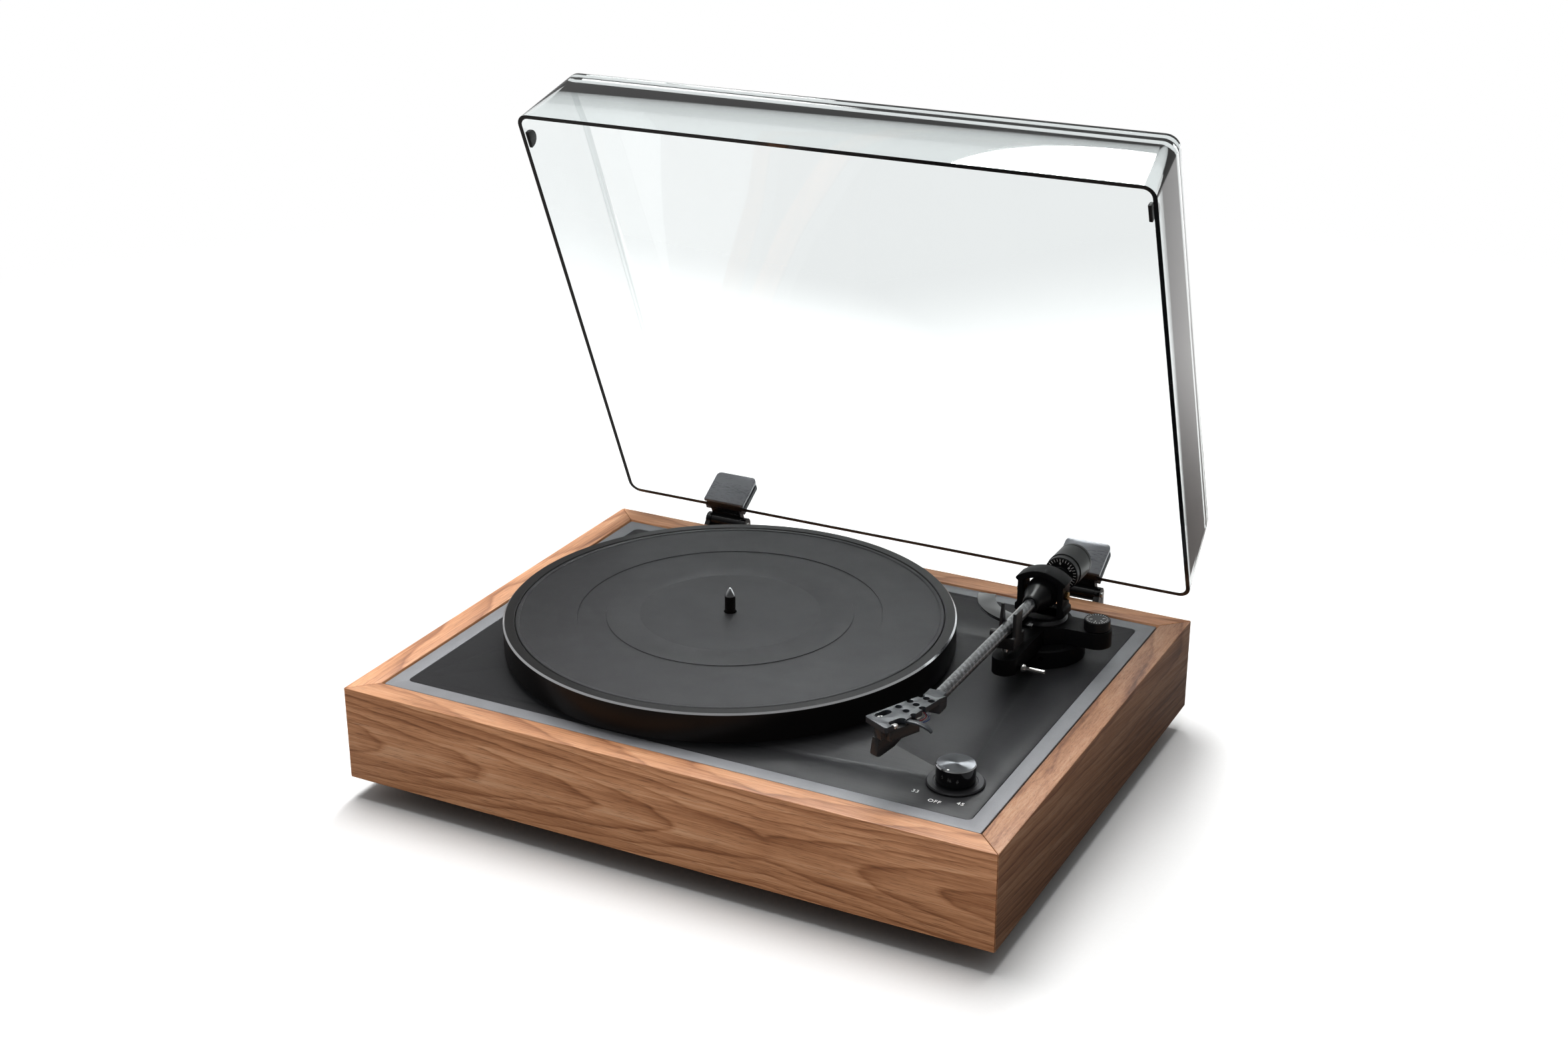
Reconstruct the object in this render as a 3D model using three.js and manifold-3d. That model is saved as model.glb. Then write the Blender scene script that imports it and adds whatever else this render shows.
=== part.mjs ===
// Belt-drive turntable with a hinged clear lid, shown with the lid open and the arm on its rest.
// Millimetres, +Z up, +X to the right, front towards -Y.
// The parts are laid out from the middle of the plinth, with Z = 0 on the table, and the whole
// group is then shifted so that its origin is the middle of its bounding box's bottom face.
import * as THREE from "three";
import { mergeVertices } from "three/addons/utils/BufferGeometryUtils.js";
import Module from "manifold-3d";

const wasm = await Module();
wasm.setup();

// ---- driving dimensions ----
const GAP = 0.3; // air between two pieces that meet
const FINE = 64; // sides of a large round piece
const ROUND = 24; // sides of a middling round piece
const SMALL = 14; // sides of a small round piece

const plinth = { width: 450, depth: 344, height: 64, wall: 17 };
const foot = { height: 15, radius: 22, inset: 46 };
const frameRing = { width: 10.4, thickness: 1.9, recess: 0.8, sideGap: 1.4, cornerRadius: 4 };
const deckBoard = { thickness: 12, recess: 3 };
const baseBoard = { thickness: 8 };
const deckPlate = { thickness: 1.7 };

const platter = { x: -38.8, y: 2.7, radius: 150, rim: 20.2, chamfer: 1.1, rimWall: 7, web: 5.8, lift: 3 };
const mat = { radius: 141.8, lip: 2.3, lipHeight: 2.1, thickness: 1.5, sink: 0.2 };
const spindle = { radius: 3.6, stand: 17.1, cone: 5.4, running: 0.3, tail: 26 };
const bearing = { barrel: 11, flange: 17, flangeThickness: 2, boss: 7, bossHeight: 5, floor: 4 };
const subPlatter = { radius: 60, height: 6.5, top: 2, lip: 2 };
const belt = { thickness: 0.8, width: 4, rise: 1.5 };
const motor = { distance: 100, angle: 140, radius: 25, height: 34, shaft: 1.5, pulley: 8 };
const motorFlange = { length: 76, width: 46, thickness: 1.6 };

const knob = { x: 171, y: -106.4, radius: 12, height: 11.2, shaft: 3 };
const knobFlange = { radius: 17.5, thickness: 1.6, chamfer: 0.6 };
const speedSwitch = { side: 28, height: 20, floor: 8 };
const board = { x: 110, y: 20, length: 84, width: 52, stand: 5, thickness: 1.6, post: 3, inset: 5 };
const capacitor = { x: 24, y: 10, radius: 5, height: 12 };
const transformer = { x: -26, halfLength: 8, halfWidth: 12, height: 9 };
const chip = { x: -1, halfLength: 7, halfWidth: 8, height: 3 };
const jack = { radius: 4.2, collar: 6, collarDepth: 2, inside: 12, outside: 9, socket: 1.7, socketDepth: 10 };
const groundPost = { rod: 2.2, length: 20, nut: 4.6, nutDepth: 6 };
const inlet = { collarDepth: 1.6, socket: 2.8, socketDepth: 10, outside: 2 };
const terminalPlaces = { leftJack: -34, rightJack: -14, ground: 8, power: 34 }; // from the plate's middle

const arm = { x: 150, pivotY: 84.5, axisAboveDeck: 42.5, tubeRadius: 4, tubeEndY: -94 };
const pillar = { radius: 29, height: 12.4, wireHole: 6 };
const casting = {
  thickness: 11,
  hubRadius: 20,
  restArmWidth: 16.5,
  dialArmWidth: 21,
  dialArmReach: 38,
};
const collar = { radius: 16.8, height: 3 };
const yoke = {
  width: 34.4,
  depth: 13.6,
  leg: 5.2,
  hubRadius: 14.4,
  hubHeight: 1.6,
  archRise: 6.5,
  crown: 4.6,
};
const pivotScrew = { radius: 2.6, tip: 1 };
const bearingBlock = { radius: 11.2, coneLength: 23.5, coneEnd: 5.6, stubRadius: 4, stubLength: 64 };
const headshell = {
  turn: -25,
  insert: 3,
  aside: 0.6,
  thickness: 3.5,
  above: 5,
  left: -3,
  front: -52,
  frontWidth: 19.3,
};
const shellRear = { left: -1.8, right: 1.6, width: 7.2, taperEnd: -3 }; // where the plate meets its collar
const shellCollar = { left: -6, right: 5.4, front: -6.4, back: 4.2, under: 1.4 };
const shellHoles = {
  radius: 2.1,
  rows: 3,
  firstRow: -9.4,
  rowPitch: 9.8,
  centre: 2.05,
  drift: 2.33,
  pitch: 4.4,
  spread: 1.15,
};
const fingerTab = { thickness: 2, width: 3.6, steps: 10 };
const cartridge = { offset: 7.4, width: 16, length: 25, height: 7.2, screwSpread: 12.7 };
const stylus = { width: 6.2, drop: 17.5, offset: -1.8, rake: 1.7 };
const counterweight = { radius: 12.2, length: 26, start: 32, dial: 5, bore: 6 };
const antiskate = { radius: 8.6, height: 6.6 };
const rest = {
  reach: 64.5,
  postRadius: 2,
  postHeight: 6,
  postTail: 5.5,
  plate: 2.4,
  side: 1,
  cheek: 2,
  front: 4,
  back: 13,
  plateFront: 2,
  plateBack: 9,
  saddleGap: 0.4,
  plateRise: 12,
  prongRise: 13,
};
const restStub = { radius: 2.6, length: 7, out: 6, back: 7, drop: 3.4 };
const restProng = { back: 8.5, halfFoot: 4, thickness: 2 };
const lift = { reach: 41, rodRadius: 2, inner: 31, outer: 42.8, thickness: 2, below: 1.6 };
const cue = { ball: 2.6, rod: 1.5, length: 15 };

const lid = {
  width: plinth.width - 6.9,
  depth: plinth.depth - 3.5,
  height: 62.8,
  wall: 3,
  sideDraft: 5.8,
  frontDraft: 5.4,
  rearDraft: 9.4,
  cornerRadius: 9,
  edgeRadius: 4,
  gap: 0.5,
  openAngle: 67.2,
};
const hinge = { x: 140, behind: 12, above: 0.4, width: 33, plate: 26.5, pin: 2, knuckle: 5.2, ear: 4 };
const bumper = { length: 12, height: 8, thickness: 2.4, fromFront: 14 };

// ---- levels that several pieces share ----
const plinthBottom = foot.height;
const plinthTop = plinthBottom + plinth.height;
const deckBoardTop = plinthTop - deckBoard.recess;
const deckBoardBottom = deckBoardTop - deckBoard.thickness;
const plateTop = deckBoardTop + GAP + deckPlate.thickness;
const armZ = plateTop + arm.axisAboveDeck;
const insideWidth = plinth.width - 2 * plinth.wall;
const insideDepth = plinth.depth - 2 * plinth.wall;
const platterBottom = plateTop + platter.lift;
const platterTop = platterBottom + platter.rim;
const matFloor = platterTop - mat.lipHeight - mat.sink - GAP;
const webBottom = matFloor - platter.web;
const subPlatterTop = webBottom - GAP;
const subPlatterBottom = subPlatterTop - subPlatter.height - subPlatter.top;
const beltBottom = subPlatterBottom + belt.rise;
const pulleyX = platter.x + motor.distance * Math.cos((motor.angle * Math.PI) / 180);
const pulleyY = platter.y + motor.distance * Math.sin((motor.angle * Math.PI) / 180);
const castingBottom = plateTop + GAP + pillar.height + GAP;
const castingTop = castingBottom + casting.thickness;

// ---- solids: closed geometry joined and cut with manifold-3d ----
function toSolid(geometry) {
  const bare = geometry.clone();
  bare.deleteAttribute("normal");
  bare.deleteAttribute("uv");
  const merged = mergeVertices(bare, 1e-4);
  const index = merged.index.array;
  const corners = [];
  for (let i = 0; i < index.length; i += 3) {
    const [a, b, c] = [index[i], index[i + 1], index[i + 2]];
    if (a !== b && b !== c && c !== a) corners.push(a, b, c);
  }
  const vertProperties = new Float32Array(merged.attributes.position.array);
  return new wasm.Manifold(new wasm.Mesh({ numProp: 3, vertProperties, triVerts: new Uint32Array(corners) }));
}

function toGeometry(solid) {
  const mesh = solid.getMesh();
  const geometry = new THREE.BufferGeometry();
  geometry.setAttribute("position", new THREE.BufferAttribute(mesh.vertProperties, 3));
  geometry.setIndex(new THREE.BufferAttribute(mesh.triVerts, 1));
  geometry.computeVertexNormals();
  return geometry;
}

const join = (first, ...others) => others.reduce((whole, other) => whole.add(other), first);
const cut = (first, ...others) => others.reduce((whole, other) => whole.subtract(other), first);

function box(x0, x1, y0, y1, z0, z1) {
  const geometry = new THREE.BoxGeometry(x1 - x0, y1 - y0, z1 - z0);
  return toSolid(geometry.translate((x0 + x1) / 2, (y0 + y1) / 2, (z0 + z1) / 2));
}

// A round bar along x, y or z, from a start point.
function bar(axis, radius, length, [x, y, z], sides = ROUND, endRadius = radius) {
  const geometry = new THREE.CylinderGeometry(endRadius, radius, length, sides).translate(0, length / 2, 0);
  if (axis === "x") geometry.rotateZ(-Math.PI / 2);
  if (axis === "z") geometry.rotateX(Math.PI / 2);
  return toSolid(geometry.translate(x, y, z));
}

// A profile of [radius, height] points turned about the vertical through x, y.
function turned(profile, x, y, sides = FINE) {
  const area = profile.reduce((sum, [r, h], i) => {
    const [nextR, nextH] = profile[(i + 1) % profile.length];
    return sum + r * nextH - nextR * h;
  }, 0);
  const ordered = area > 0 ? [...profile] : [...profile].reverse();
  const startsOnAxis = ordered.findIndex(([r], i) => r === 0 && ordered.at(i - 1)[0] === 0);
  const points = startsOnAxis < 0 ? ordered : [...ordered.slice(startsOnAxis), ...ordered.slice(0, startsOnAxis)];
  if (startsOnAxis < 0) points.push(points[0]);
  const vectors = points.map(([r, h]) => new THREE.Vector2(r, h));
  return toSolid(new THREE.LatheGeometry(vectors, sides).rotateX(Math.PI / 2).translate(x, y, 0));
}

// An outline in plan, raised from z0 to z1.
function raised(shape, z0, z1, curveSegments = 8) {
  const options = { depth: z1 - z0, bevelEnabled: false, curveSegments };
  return toSolid(new THREE.ExtrudeGeometry(shape, options).translate(0, 0, z0));
}

function polygon(points) {
  return new THREE.Shape(points.map(([x, y]) => new THREE.Vector2(x, y)));
}

function roundedRect(width, depth, radius) {
  const shape = new THREE.Shape();
  const [w, d] = [width / 2 - radius, depth / 2 - radius];
  shape.absarc(w, d, radius, 0, Math.PI / 2);
  shape.absarc(-w, d, radius, Math.PI / 2, Math.PI);
  shape.absarc(-w, -d, radius, Math.PI, Math.PI * 1.5);
  shape.absarc(w, -d, radius, Math.PI * 1.5, Math.PI * 2);
  return shape;
}

// ---- finishes ----
const finish = (color, roughness, metalness = 0) => ({ color, roughness, metalness });
const FINISHES = {
  walnut: finish(0x8a5a3c, 0.45),
  board: finish(0x3a2c22, 0.8),
  silver: finish(0x9a9aa0, 0.45, 0.9),
  deckBlack: finish(0x2b2c2f, 0.4, 0.7),
  satinBlack: finish(0x101112, 0.35, 0.6),
  plastic: finish(0x0d0d0e, 0.4),
  gloss: finish(0x08080a, 0.1),
  rubber: finish(0x2f3032, 0.85),
  steel: finish(0xb9bcc0, 0.25, 1),
  brass: finish(0xb08d57, 0.3, 1),
  chrome: finish(0xdadde0, 0.08, 1),
  carbon: finish(0x202224, 0.2, 0.2),
  circuit: finish(0x1e5a35, 0.5),
  acrylic: { color: 0xdfe8ec, roughness: 0.03, metalness: 0, transparent: true, opacity: 0.25 },
};

const turntable = new THREE.Group();

function piece(name, solid, look, parent = turntable) {
  const mesh = new THREE.Mesh(toGeometry(solid), new THREE.MeshStandardMaterial(FINISHES[look]));
  mesh.name = name;
  parent.add(mesh);
  return mesh;
}

// ---- plinth ----
function mitredRail(length) {
  const half = length / 2 - GAP / Math.SQRT2;
  const [outer, inner] = [0, plinth.wall];
  const outline = [[-half, outer], [half, outer], [half - inner, inner], [-half + inner, inner]];
  return raised(polygon(outline), plinthBottom, plinthTop);
}

const terminals = { x: -50, z: plinthBottom + 30, width: 104, height: 34, thickness: 2, window: 5 };

function makePlinth() {
  const [w, d] = [plinth.width / 2, plinth.depth / 2];
  const window = box(
    terminals.x - terminals.width / 2 + terminals.window,
    terminals.x + terminals.width / 2 - terminals.window,
    d - plinth.wall - 1,
    d + 1,
    terminals.z - terminals.height / 2 + terminals.window,
    terminals.z + terminals.height / 2 - terminals.window,
  );
  piece("front_rail", mitredRail(plinth.width).translate([0, -d, 0]), "walnut");
  piece("right_rail", mitredRail(plinth.depth).rotate([0, 0, 90]).translate([w, 0, 0]), "walnut");
  const back = mitredRail(plinth.width).rotate([0, 0, 180]).translate([0, d, 0]);
  piece("back_rail", cut(back, window), "walnut");
  piece("left_rail", mitredRail(plinth.depth).rotate([0, 0, -90]).translate([-w, 0, 0]), "walnut");
}

function insideSheet(z0, z1) {
  const [w, d] = [insideWidth / 2 - GAP, insideDepth / 2 - GAP];
  return box(-w, w, -d, d, z0, z1);
}

// Holes that the spindle bearing, the motor pulley, the arm's wires and the knob's shaft pass through.
function deckHoles(z0, z1) {
  const hole = (x, y, radius) => bar("z", radius, z1 - z0 + 2, [x, y, z0 - 1], ROUND);
  return [
    hole(platter.x, platter.y, bearing.barrel + GAP),
    hole(pulleyX, pulleyY, motor.pulley + 3),
    hole(arm.x, arm.pivotY, pillar.wireHole),
    hole(knob.x, knob.y, knob.shaft + 1),
  ];
}

function makeDeck() {
  const bottom = insideSheet(plinthBottom, plinthBottom + baseBoard.thickness);
  piece("base_board", bottom, "board");
  const board = insideSheet(deckBoardBottom, deckBoardTop);
  piece("deck_board", cut(board, ...deckHoles(deckBoardBottom, deckBoardTop)), "board");

  const ringWidth = insideWidth - 2 * frameRing.sideGap;
  const ringDepth = insideDepth - 2 * frameRing.sideGap;
  const openWidth = ringWidth - 2 * frameRing.width;
  const openDepth = ringDepth - 2 * frameRing.width;
  const ring = roundedRect(ringWidth, ringDepth, 1);
  ring.holes.push(roundedRect(openWidth, openDepth, frameRing.cornerRadius));
  const ringTop = plinthTop - frameRing.recess;
  piece("top_frame", raised(ring, ringTop - frameRing.thickness, ringTop, 4), "silver");

  const plateShape = roundedRect(openWidth - 2 * GAP, openDepth - 2 * GAP, frameRing.cornerRadius - GAP);
  const plateBottom = deckBoardTop + GAP;
  const plate = raised(plateShape, plateBottom, plateTop, 4);
  piece("deck_plate", cut(plate, ...deckHoles(plateBottom, plateTop)), "deckBlack");
}

function makeFeet() {
  const x = plinth.width / 2 - foot.inset;
  const y = plinth.depth / 2 - foot.inset;
  const top = foot.height - GAP;
  const waist = foot.radius - 3;
  const profile = [
    [0, 0],
    [waist - 1, 0],
    [waist, 1],
    [waist, 3],
    [foot.radius, 5],
    [foot.radius, top - 1],
    [foot.radius - 1, top],
    [0, top],
  ];
  for (const [side, sx] of [["left", -1], ["right", 1]])
    for (const [end, sy] of [["front", -1], ["rear", 1]])
      piece(`foot_${end}_${side}`, turned(profile, sx * x, sy * y, ROUND), "plastic");
}

// ---- drive ----
function makeBearing() {
  const flangeBottom = plateTop + GAP;
  const flangeTop = flangeBottom + bearing.flangeThickness;
  const bossTop = flangeTop + bearing.bossHeight - bearing.flangeThickness;
  const bore = spindle.radius + spindle.running;
  const boreFloor = deckBoardBottom - spindle.tail + bearing.floor;
  const profile = [
    [0, boreFloor - bearing.floor],
    [bearing.barrel, boreFloor - bearing.floor],
    [bearing.barrel, flangeBottom],
    [bearing.flange, flangeBottom],
    [bearing.flange, flangeTop],
    [bearing.boss, flangeTop],
    [bearing.boss, bossTop],
    [bore, bossTop],
    [bore, boreFloor],
    [0, boreFloor],
  ];
  piece("spindle_bearing", turned(profile, platter.x, platter.y, ROUND), "brass");

  const tip = matFloor + GAP + mat.thickness + spindle.stand;
  const shaft = [
    [0, boreFloor + GAP],
    [spindle.radius, boreFloor + GAP],
    [spindle.radius, tip - spindle.cone],
    [0.8, tip - 0.3],
    [0, tip],
  ];
  piece("spindle", turned(shaft, platter.x, platter.y, ROUND), "steel");
}

function makePlatter() {
  const bore = spindle.radius + spindle.running;
  const { radius, chamfer, rimWall } = platter;
  const matEdge = mat.radius + 0.4;
  const rim = [
    [bore, webBottom],
    [radius - rimWall, webBottom],
    [radius - rimWall, platterBottom],
    [radius - chamfer, platterBottom],
    [radius, platterBottom + chamfer],
    [radius, platterTop - chamfer],
    [radius - chamfer, platterTop],
    [matEdge, platterTop],
    [matEdge, matFloor],
    [bore, matFloor],
  ];
  piece("platter", turned(rim, platter.x, platter.y), "satinBlack");

  const matBottom = matFloor + GAP;
  const matLip = matBottom + mat.lipHeight;
  const matFace = matBottom + mat.thickness;
  const matProfile = [
    [bore + GAP, matBottom],
    [mat.radius, matBottom],
    [mat.radius, matLip],
    [mat.radius - mat.lip, matLip],
    [mat.radius - mat.lip - 0.6, matFace],
    [bore + GAP, matFace],
  ];
  piece("platter_mat", turned(matProfile, platter.x, platter.y), "rubber");

  const grip = subPlatterTop - subPlatter.top;
  const hub = [
    [bore, subPlatterBottom],
    [subPlatter.radius, subPlatterBottom],
    [subPlatter.radius, grip],
    [subPlatter.radius + subPlatter.lip, grip],
    [subPlatter.radius + subPlatter.lip, subPlatterTop],
    [bore, subPlatterTop],
  ];
  piece("sub_platter", turned(hub, platter.x, platter.y, 48), "plastic");
}

// The belt's loop: two arcs round the wheels and the two straight runs between them.
function beltLoop(extra) {
  const [big, small] = [subPlatter.radius + extra, motor.pulley + extra];
  const line = Math.atan2(pulleyY - platter.y, pulleyX - platter.x);
  const spread = Math.acos((big - small) / motor.distance);
  const loop = new THREE.Shape();
  loop.absarc(platter.x, platter.y, big, line + spread, line - spread + Math.PI * 2, false);
  loop.absarc(pulleyX, pulleyY, small, line - spread, line + spread, false);
  return loop;
}

function makeMotor() {
  const flangeTop = deckBoardBottom - GAP;
  const canTop = flangeTop - motorFlange.thickness;
  const shaftEnd = canTop - 16;
  const [halfLength, halfWidth] = [motorFlange.length / 2, motorFlange.width / 2];
  const flange = box(
    pulleyX - halfLength,
    pulleyX + halfLength,
    pulleyY - halfWidth,
    pulleyY + halfWidth,
    canTop,
    flangeTop,
  );
  const can = bar("z", motor.radius, motor.height + 0.5, [pulleyX, pulleyY, canTop - motor.height]);
  const bore = bar("z", motor.shaft + GAP, 25, [pulleyX, pulleyY, shaftEnd - 1], SMALL);
  piece("motor", cut(join(can, flange), bore), "steel");

  const groove = beltBottom - 0.4;
  const grooveTop = beltBottom + belt.width + 0.4;
  const flangeRadius = motor.pulley + 1;
  const pulleyBottom = plateTop + 2;
  const profile = [
    [0, shaftEnd],
    [motor.shaft, shaftEnd],
    [motor.shaft, pulleyBottom],
    [flangeRadius, pulleyBottom],
    [flangeRadius, groove - 0.4],
    [motor.pulley, groove],
    [motor.pulley, grooveTop],
    [flangeRadius, grooveTop + 0.4],
    [flangeRadius, grooveTop + 1],
    [0, grooveTop + 1],
  ];
  piece("motor_pulley", turned(profile, pulleyX, pulleyY, ROUND), "brass");

  const loop = beltLoop(GAP + belt.thickness);
  loop.holes.push(beltLoop(GAP));
  piece("drive_belt", raised(loop, beltBottom, beltBottom + belt.width, 18), "rubber");
}

// ---- electronics and rear terminals ----
function makeElectronics() {
  const floor = plinthBottom + baseBoard.thickness + GAP;
  const [hx, hy] = [board.length / 2, board.width / 2];
  const boardZ = floor + board.stand;
  const sheet = box(board.x - hx, board.x + hx, board.y - hy, board.y + hy, boardZ, boardZ + board.thickness);
  const cornerX = (side) => board.x + side * (hx - board.inset);
  const cornerY = (side) => board.y + side * (hy - board.inset);
  const posts = [-1, 1].flatMap((sx) =>
    [-1, 1].map((sy) =>
      bar("z", board.post, board.stand + 0.5, [cornerX(sx), cornerY(sy), floor], SMALL),
    ),
  );
  const top = boardZ + board.thickness - 0.2;
  const block = ({ x, halfLength, halfWidth, height }) => {
    const [x0, x1] = [board.x + x - halfLength, board.x + x + halfLength];
    return box(x0, x1, board.y - halfWidth, board.y + halfWidth, top, top + height);
  };
  const cans = [-1, 1].map((side) => {
    const base = [board.x + capacitor.x, board.y + side * capacitor.y, top];
    return bar("z", capacitor.radius, capacitor.height, base, SMALL);
  });
  const parts = [block(transformer), block(chip), ...cans];
  piece("control_board", join(sheet, ...posts, ...parts), "circuit");

  const body = speedSwitch.side / 2;
  const bodyTop = deckBoardBottom - GAP;
  const bodyBottom = bodyTop - speedSwitch.height;
  const housing = box(knob.x - body, knob.x + body, knob.y - body, knob.y + body, bodyBottom, bodyTop);
  const boreStart = [knob.x, knob.y, bodyBottom + speedSwitch.floor];
  const bore = bar("z", knob.shaft + GAP, speedSwitch.height, boreStart, SMALL);
  piece("speed_switch", cut(housing, bore), "plastic");
}

function makeTerminals() {
  const back = plinth.depth / 2 + GAP;
  const { x, z, width, height, thickness } = terminals;
  const plate = box(x - width / 2, x + width / 2, back, back + thickness, z - height / 2, z + height / 2);
  const places = {
    left_output_jack: x + terminalPlaces.leftJack,
    right_output_jack: x + terminalPlaces.rightJack,
    ground_post: x + terminalPlaces.ground,
    power_inlet: x + terminalPlaces.power,
  };
  const hole = (px) => bar("y", jack.radius + GAP, thickness + 2, [px, back - 1, z], SMALL);
  const holes = Object.values(places).map(hole);
  piece("terminal_plate", cut(plate, ...holes), "plastic");

  const face = back + thickness + GAP;
  const start = back - jack.inside;
  for (const name of ["left_output_jack", "right_output_jack"]) {
    const px = places[name];
    const shell = join(
      bar("y", jack.radius, jack.outside + thickness + jack.inside, [px, start, z], SMALL),
      bar("y", jack.collar, jack.collarDepth, [px, face, z], SMALL),
    );
    const socket = bar("y", jack.socket, jack.socketDepth, [px, back + thickness + 1, z], SMALL);
    piece(name, cut(shell, socket), "brass");
  }
  const post = join(
    bar("y", groundPost.rod, groundPost.length, [places.ground_post, start, z], SMALL),
    bar("y", groundPost.nut, groundPost.nutDepth, [places.ground_post, face, z], SMALL),
  );
  piece("ground_post", post, "brass");
  const px = places.power_inlet;
  const barrel = join(
    bar("y", jack.radius, jack.inside + thickness + inlet.outside, [px, start, z], SMALL),
    bar("y", jack.collar, inlet.collarDepth, [px, face, z], SMALL),
  );
  const opening = bar("y", inlet.socket, inlet.socketDepth, [px, face - 7, z], SMALL);
  piece("power_inlet", cut(barrel, opening), "plastic");
}

// ---- speed knob ----
function makeKnob() {
  const flangeBottom = plateTop + GAP;
  const flangeTop = flangeBottom + knobFlange.thickness;
  const hole = knob.shaft + 0.5;
  const flange = [
    [hole, flangeBottom],
    [knobFlange.radius, flangeBottom],
    [knobFlange.radius, flangeTop - knobFlange.chamfer],
    [knobFlange.radius - knobFlange.chamfer, flangeTop],
    [hole, flangeTop],
  ];
  piece("knob_flange", turned(flange, knob.x, knob.y, ROUND), "satinBlack");
  const low = flangeTop + GAP;
  const high = low + knob.height;
  const shaftEnd = deckBoardBottom - GAP - speedSwitch.height + 8 + GAP;
  const profile = [
    [0, shaftEnd],
    [knob.shaft, shaftEnd],
    [knob.shaft, low],
    [knob.radius, low],
    [knob.radius, high - 0.5],
    [knob.radius - 0.5, high],
    [0, high],
  ];
  piece("speed_knob", turned(profile, knob.x, knob.y, ROUND), "satinBlack");
}

// ---- tone arm base ----
const restY = arm.pivotY - rest.reach;
const liftY = arm.pivotY - lift.reach;
const dialX = arm.x + casting.dialArmReach;
const cueX = arm.x + casting.restArmWidth / 2 + GAP + cue.ball;
const cueZ = castingBottom + 3.2;

function makeArmBase() {
  const pillarBottom = plateTop + GAP;
  const pillarProfile = [
    [pillar.wireHole, pillarBottom],
    [pillar.radius, pillarBottom],
    [pillar.radius, pillarBottom + pillar.height],
    [pillar.wireHole, pillarBottom + pillar.height],
  ];
  piece("arm_pillar", turned(pillarProfile, arm.x, arm.pivotY, ROUND), "satinBlack");

  const half = casting.restArmWidth / 2;
  const dialHalf = antiskate.radius + 1.2;
  const hub = bar("z", casting.hubRadius, casting.thickness, [arm.x, arm.pivotY, castingBottom], ROUND);
  const restArm = box(arm.x - half, arm.x + half, restY, arm.pivotY, castingBottom, castingTop);
  const restEnd = bar("z", half, casting.thickness, [arm.x, restY, castingBottom], ROUND);
  const dialArm = raised(
    polygon([
      [arm.x, arm.pivotY - casting.dialArmWidth / 2],
      [dialX, arm.pivotY - dialHalf],
      [dialX, arm.pivotY + dialHalf],
      [arm.x, arm.pivotY + casting.dialArmWidth / 2],
    ]),
    castingBottom,
    castingTop,
  );
  const dialEnd = bar("z", dialHalf, casting.thickness, [dialX, arm.pivotY, castingBottom], ROUND);
  const tall = casting.thickness + 2;
  const wireHole = bar("z", pillar.wireHole, tall, [arm.x, arm.pivotY, castingBottom - 1], ROUND);
  const rodHole = bar("z", lift.rodRadius + GAP, tall, [arm.x, liftY, castingBottom - 1], SMALL);
  const dialHole = bar("z", 2 + GAP, 7, [dialX, arm.pivotY, castingTop - 6], SMALL);
  const postHole = bar("z", rest.postRadius + GAP, 7, [arm.x, restY, castingTop - 6], SMALL);
  const body = cut(join(hub, restArm, restEnd, dialArm, dialEnd), wireHole, rodHole, dialHole, postHole);
  piece("arm_base", body, "satinBlack");

  const ringBottom = castingTop + GAP;
  const ringTop = ringBottom + collar.height;
  const ringProfile = [
    [pillar.wireHole, ringBottom],
    [collar.radius, ringBottom],
    [collar.radius, ringBottom + 1.2],
    [collar.radius - 1.4, ringTop],
    [pillar.wireHole, ringTop],
  ];
  piece("arm_collar", turned(ringProfile, arm.x, arm.pivotY, ROUND), "satinBlack");

  const dialBottom = castingTop + GAP;
  const dial = join(
    bar("z", antiskate.radius, antiskate.height, [dialX, arm.pivotY, dialBottom], ROUND),
    bar("z", 2, 5.5, [dialX, arm.pivotY, dialBottom - 5.4], SMALL),
  );
  piece("antiskate_dial", dial, "satinBlack");
}

// ---- arm rest and cue lift ----
function makeRest() {
  const tubeSide = arm.tubeRadius + rest.side;
  const saddleTop = armZ - arm.tubeRadius - rest.saddleGap;
  const clipBottom = castingTop + rest.postHeight;
  const postBottom = castingTop - rest.postTail;
  const post = bar("z", rest.postRadius, clipBottom - GAP - postBottom, [arm.x, restY, postBottom], SMALL);
  piece("rest_post", post, "chrome");

  const [y0, y1] = [restY - rest.front, restY + rest.back];
  const [left, right] = [arm.x - tubeSide - rest.cheek, arm.x + tubeSide];
  const block = box(left, right + rest.plate, y0, y1, clipBottom, saddleTop);
  const [plateFront, plateBack] = [restY - rest.plateFront, restY + rest.plateBack];
  const plate = box(right, right + rest.plate, plateFront, plateBack, clipBottom, armZ + rest.plateRise);
  const stubStart = [left - restStub.out, restY + restStub.back, saddleTop - restStub.drop];
  const stub = bar("x", restStub.radius, restStub.length, stubStart, SMALL);
  piece("rest_clip", join(block, plate, stub), "plastic");

  // The prong leans to a point, so that a finger can bend it away from the tube.
  const prongY = restY + restProng.back;
  const outline = polygon([
    [prongY - restProng.halfFoot, saddleTop + GAP],
    [prongY + restProng.halfFoot, saddleTop + GAP],
    [prongY + 1, armZ + rest.prongRise],
    [prongY - 0.5, armZ + rest.prongRise],
  ]);
  const prong = raised(outline, 0, restProng.thickness).rotate([90, 0, 90]).translate([left, 0, 0]);
  piece("rest_prong", prong, "plastic");
}

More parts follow.
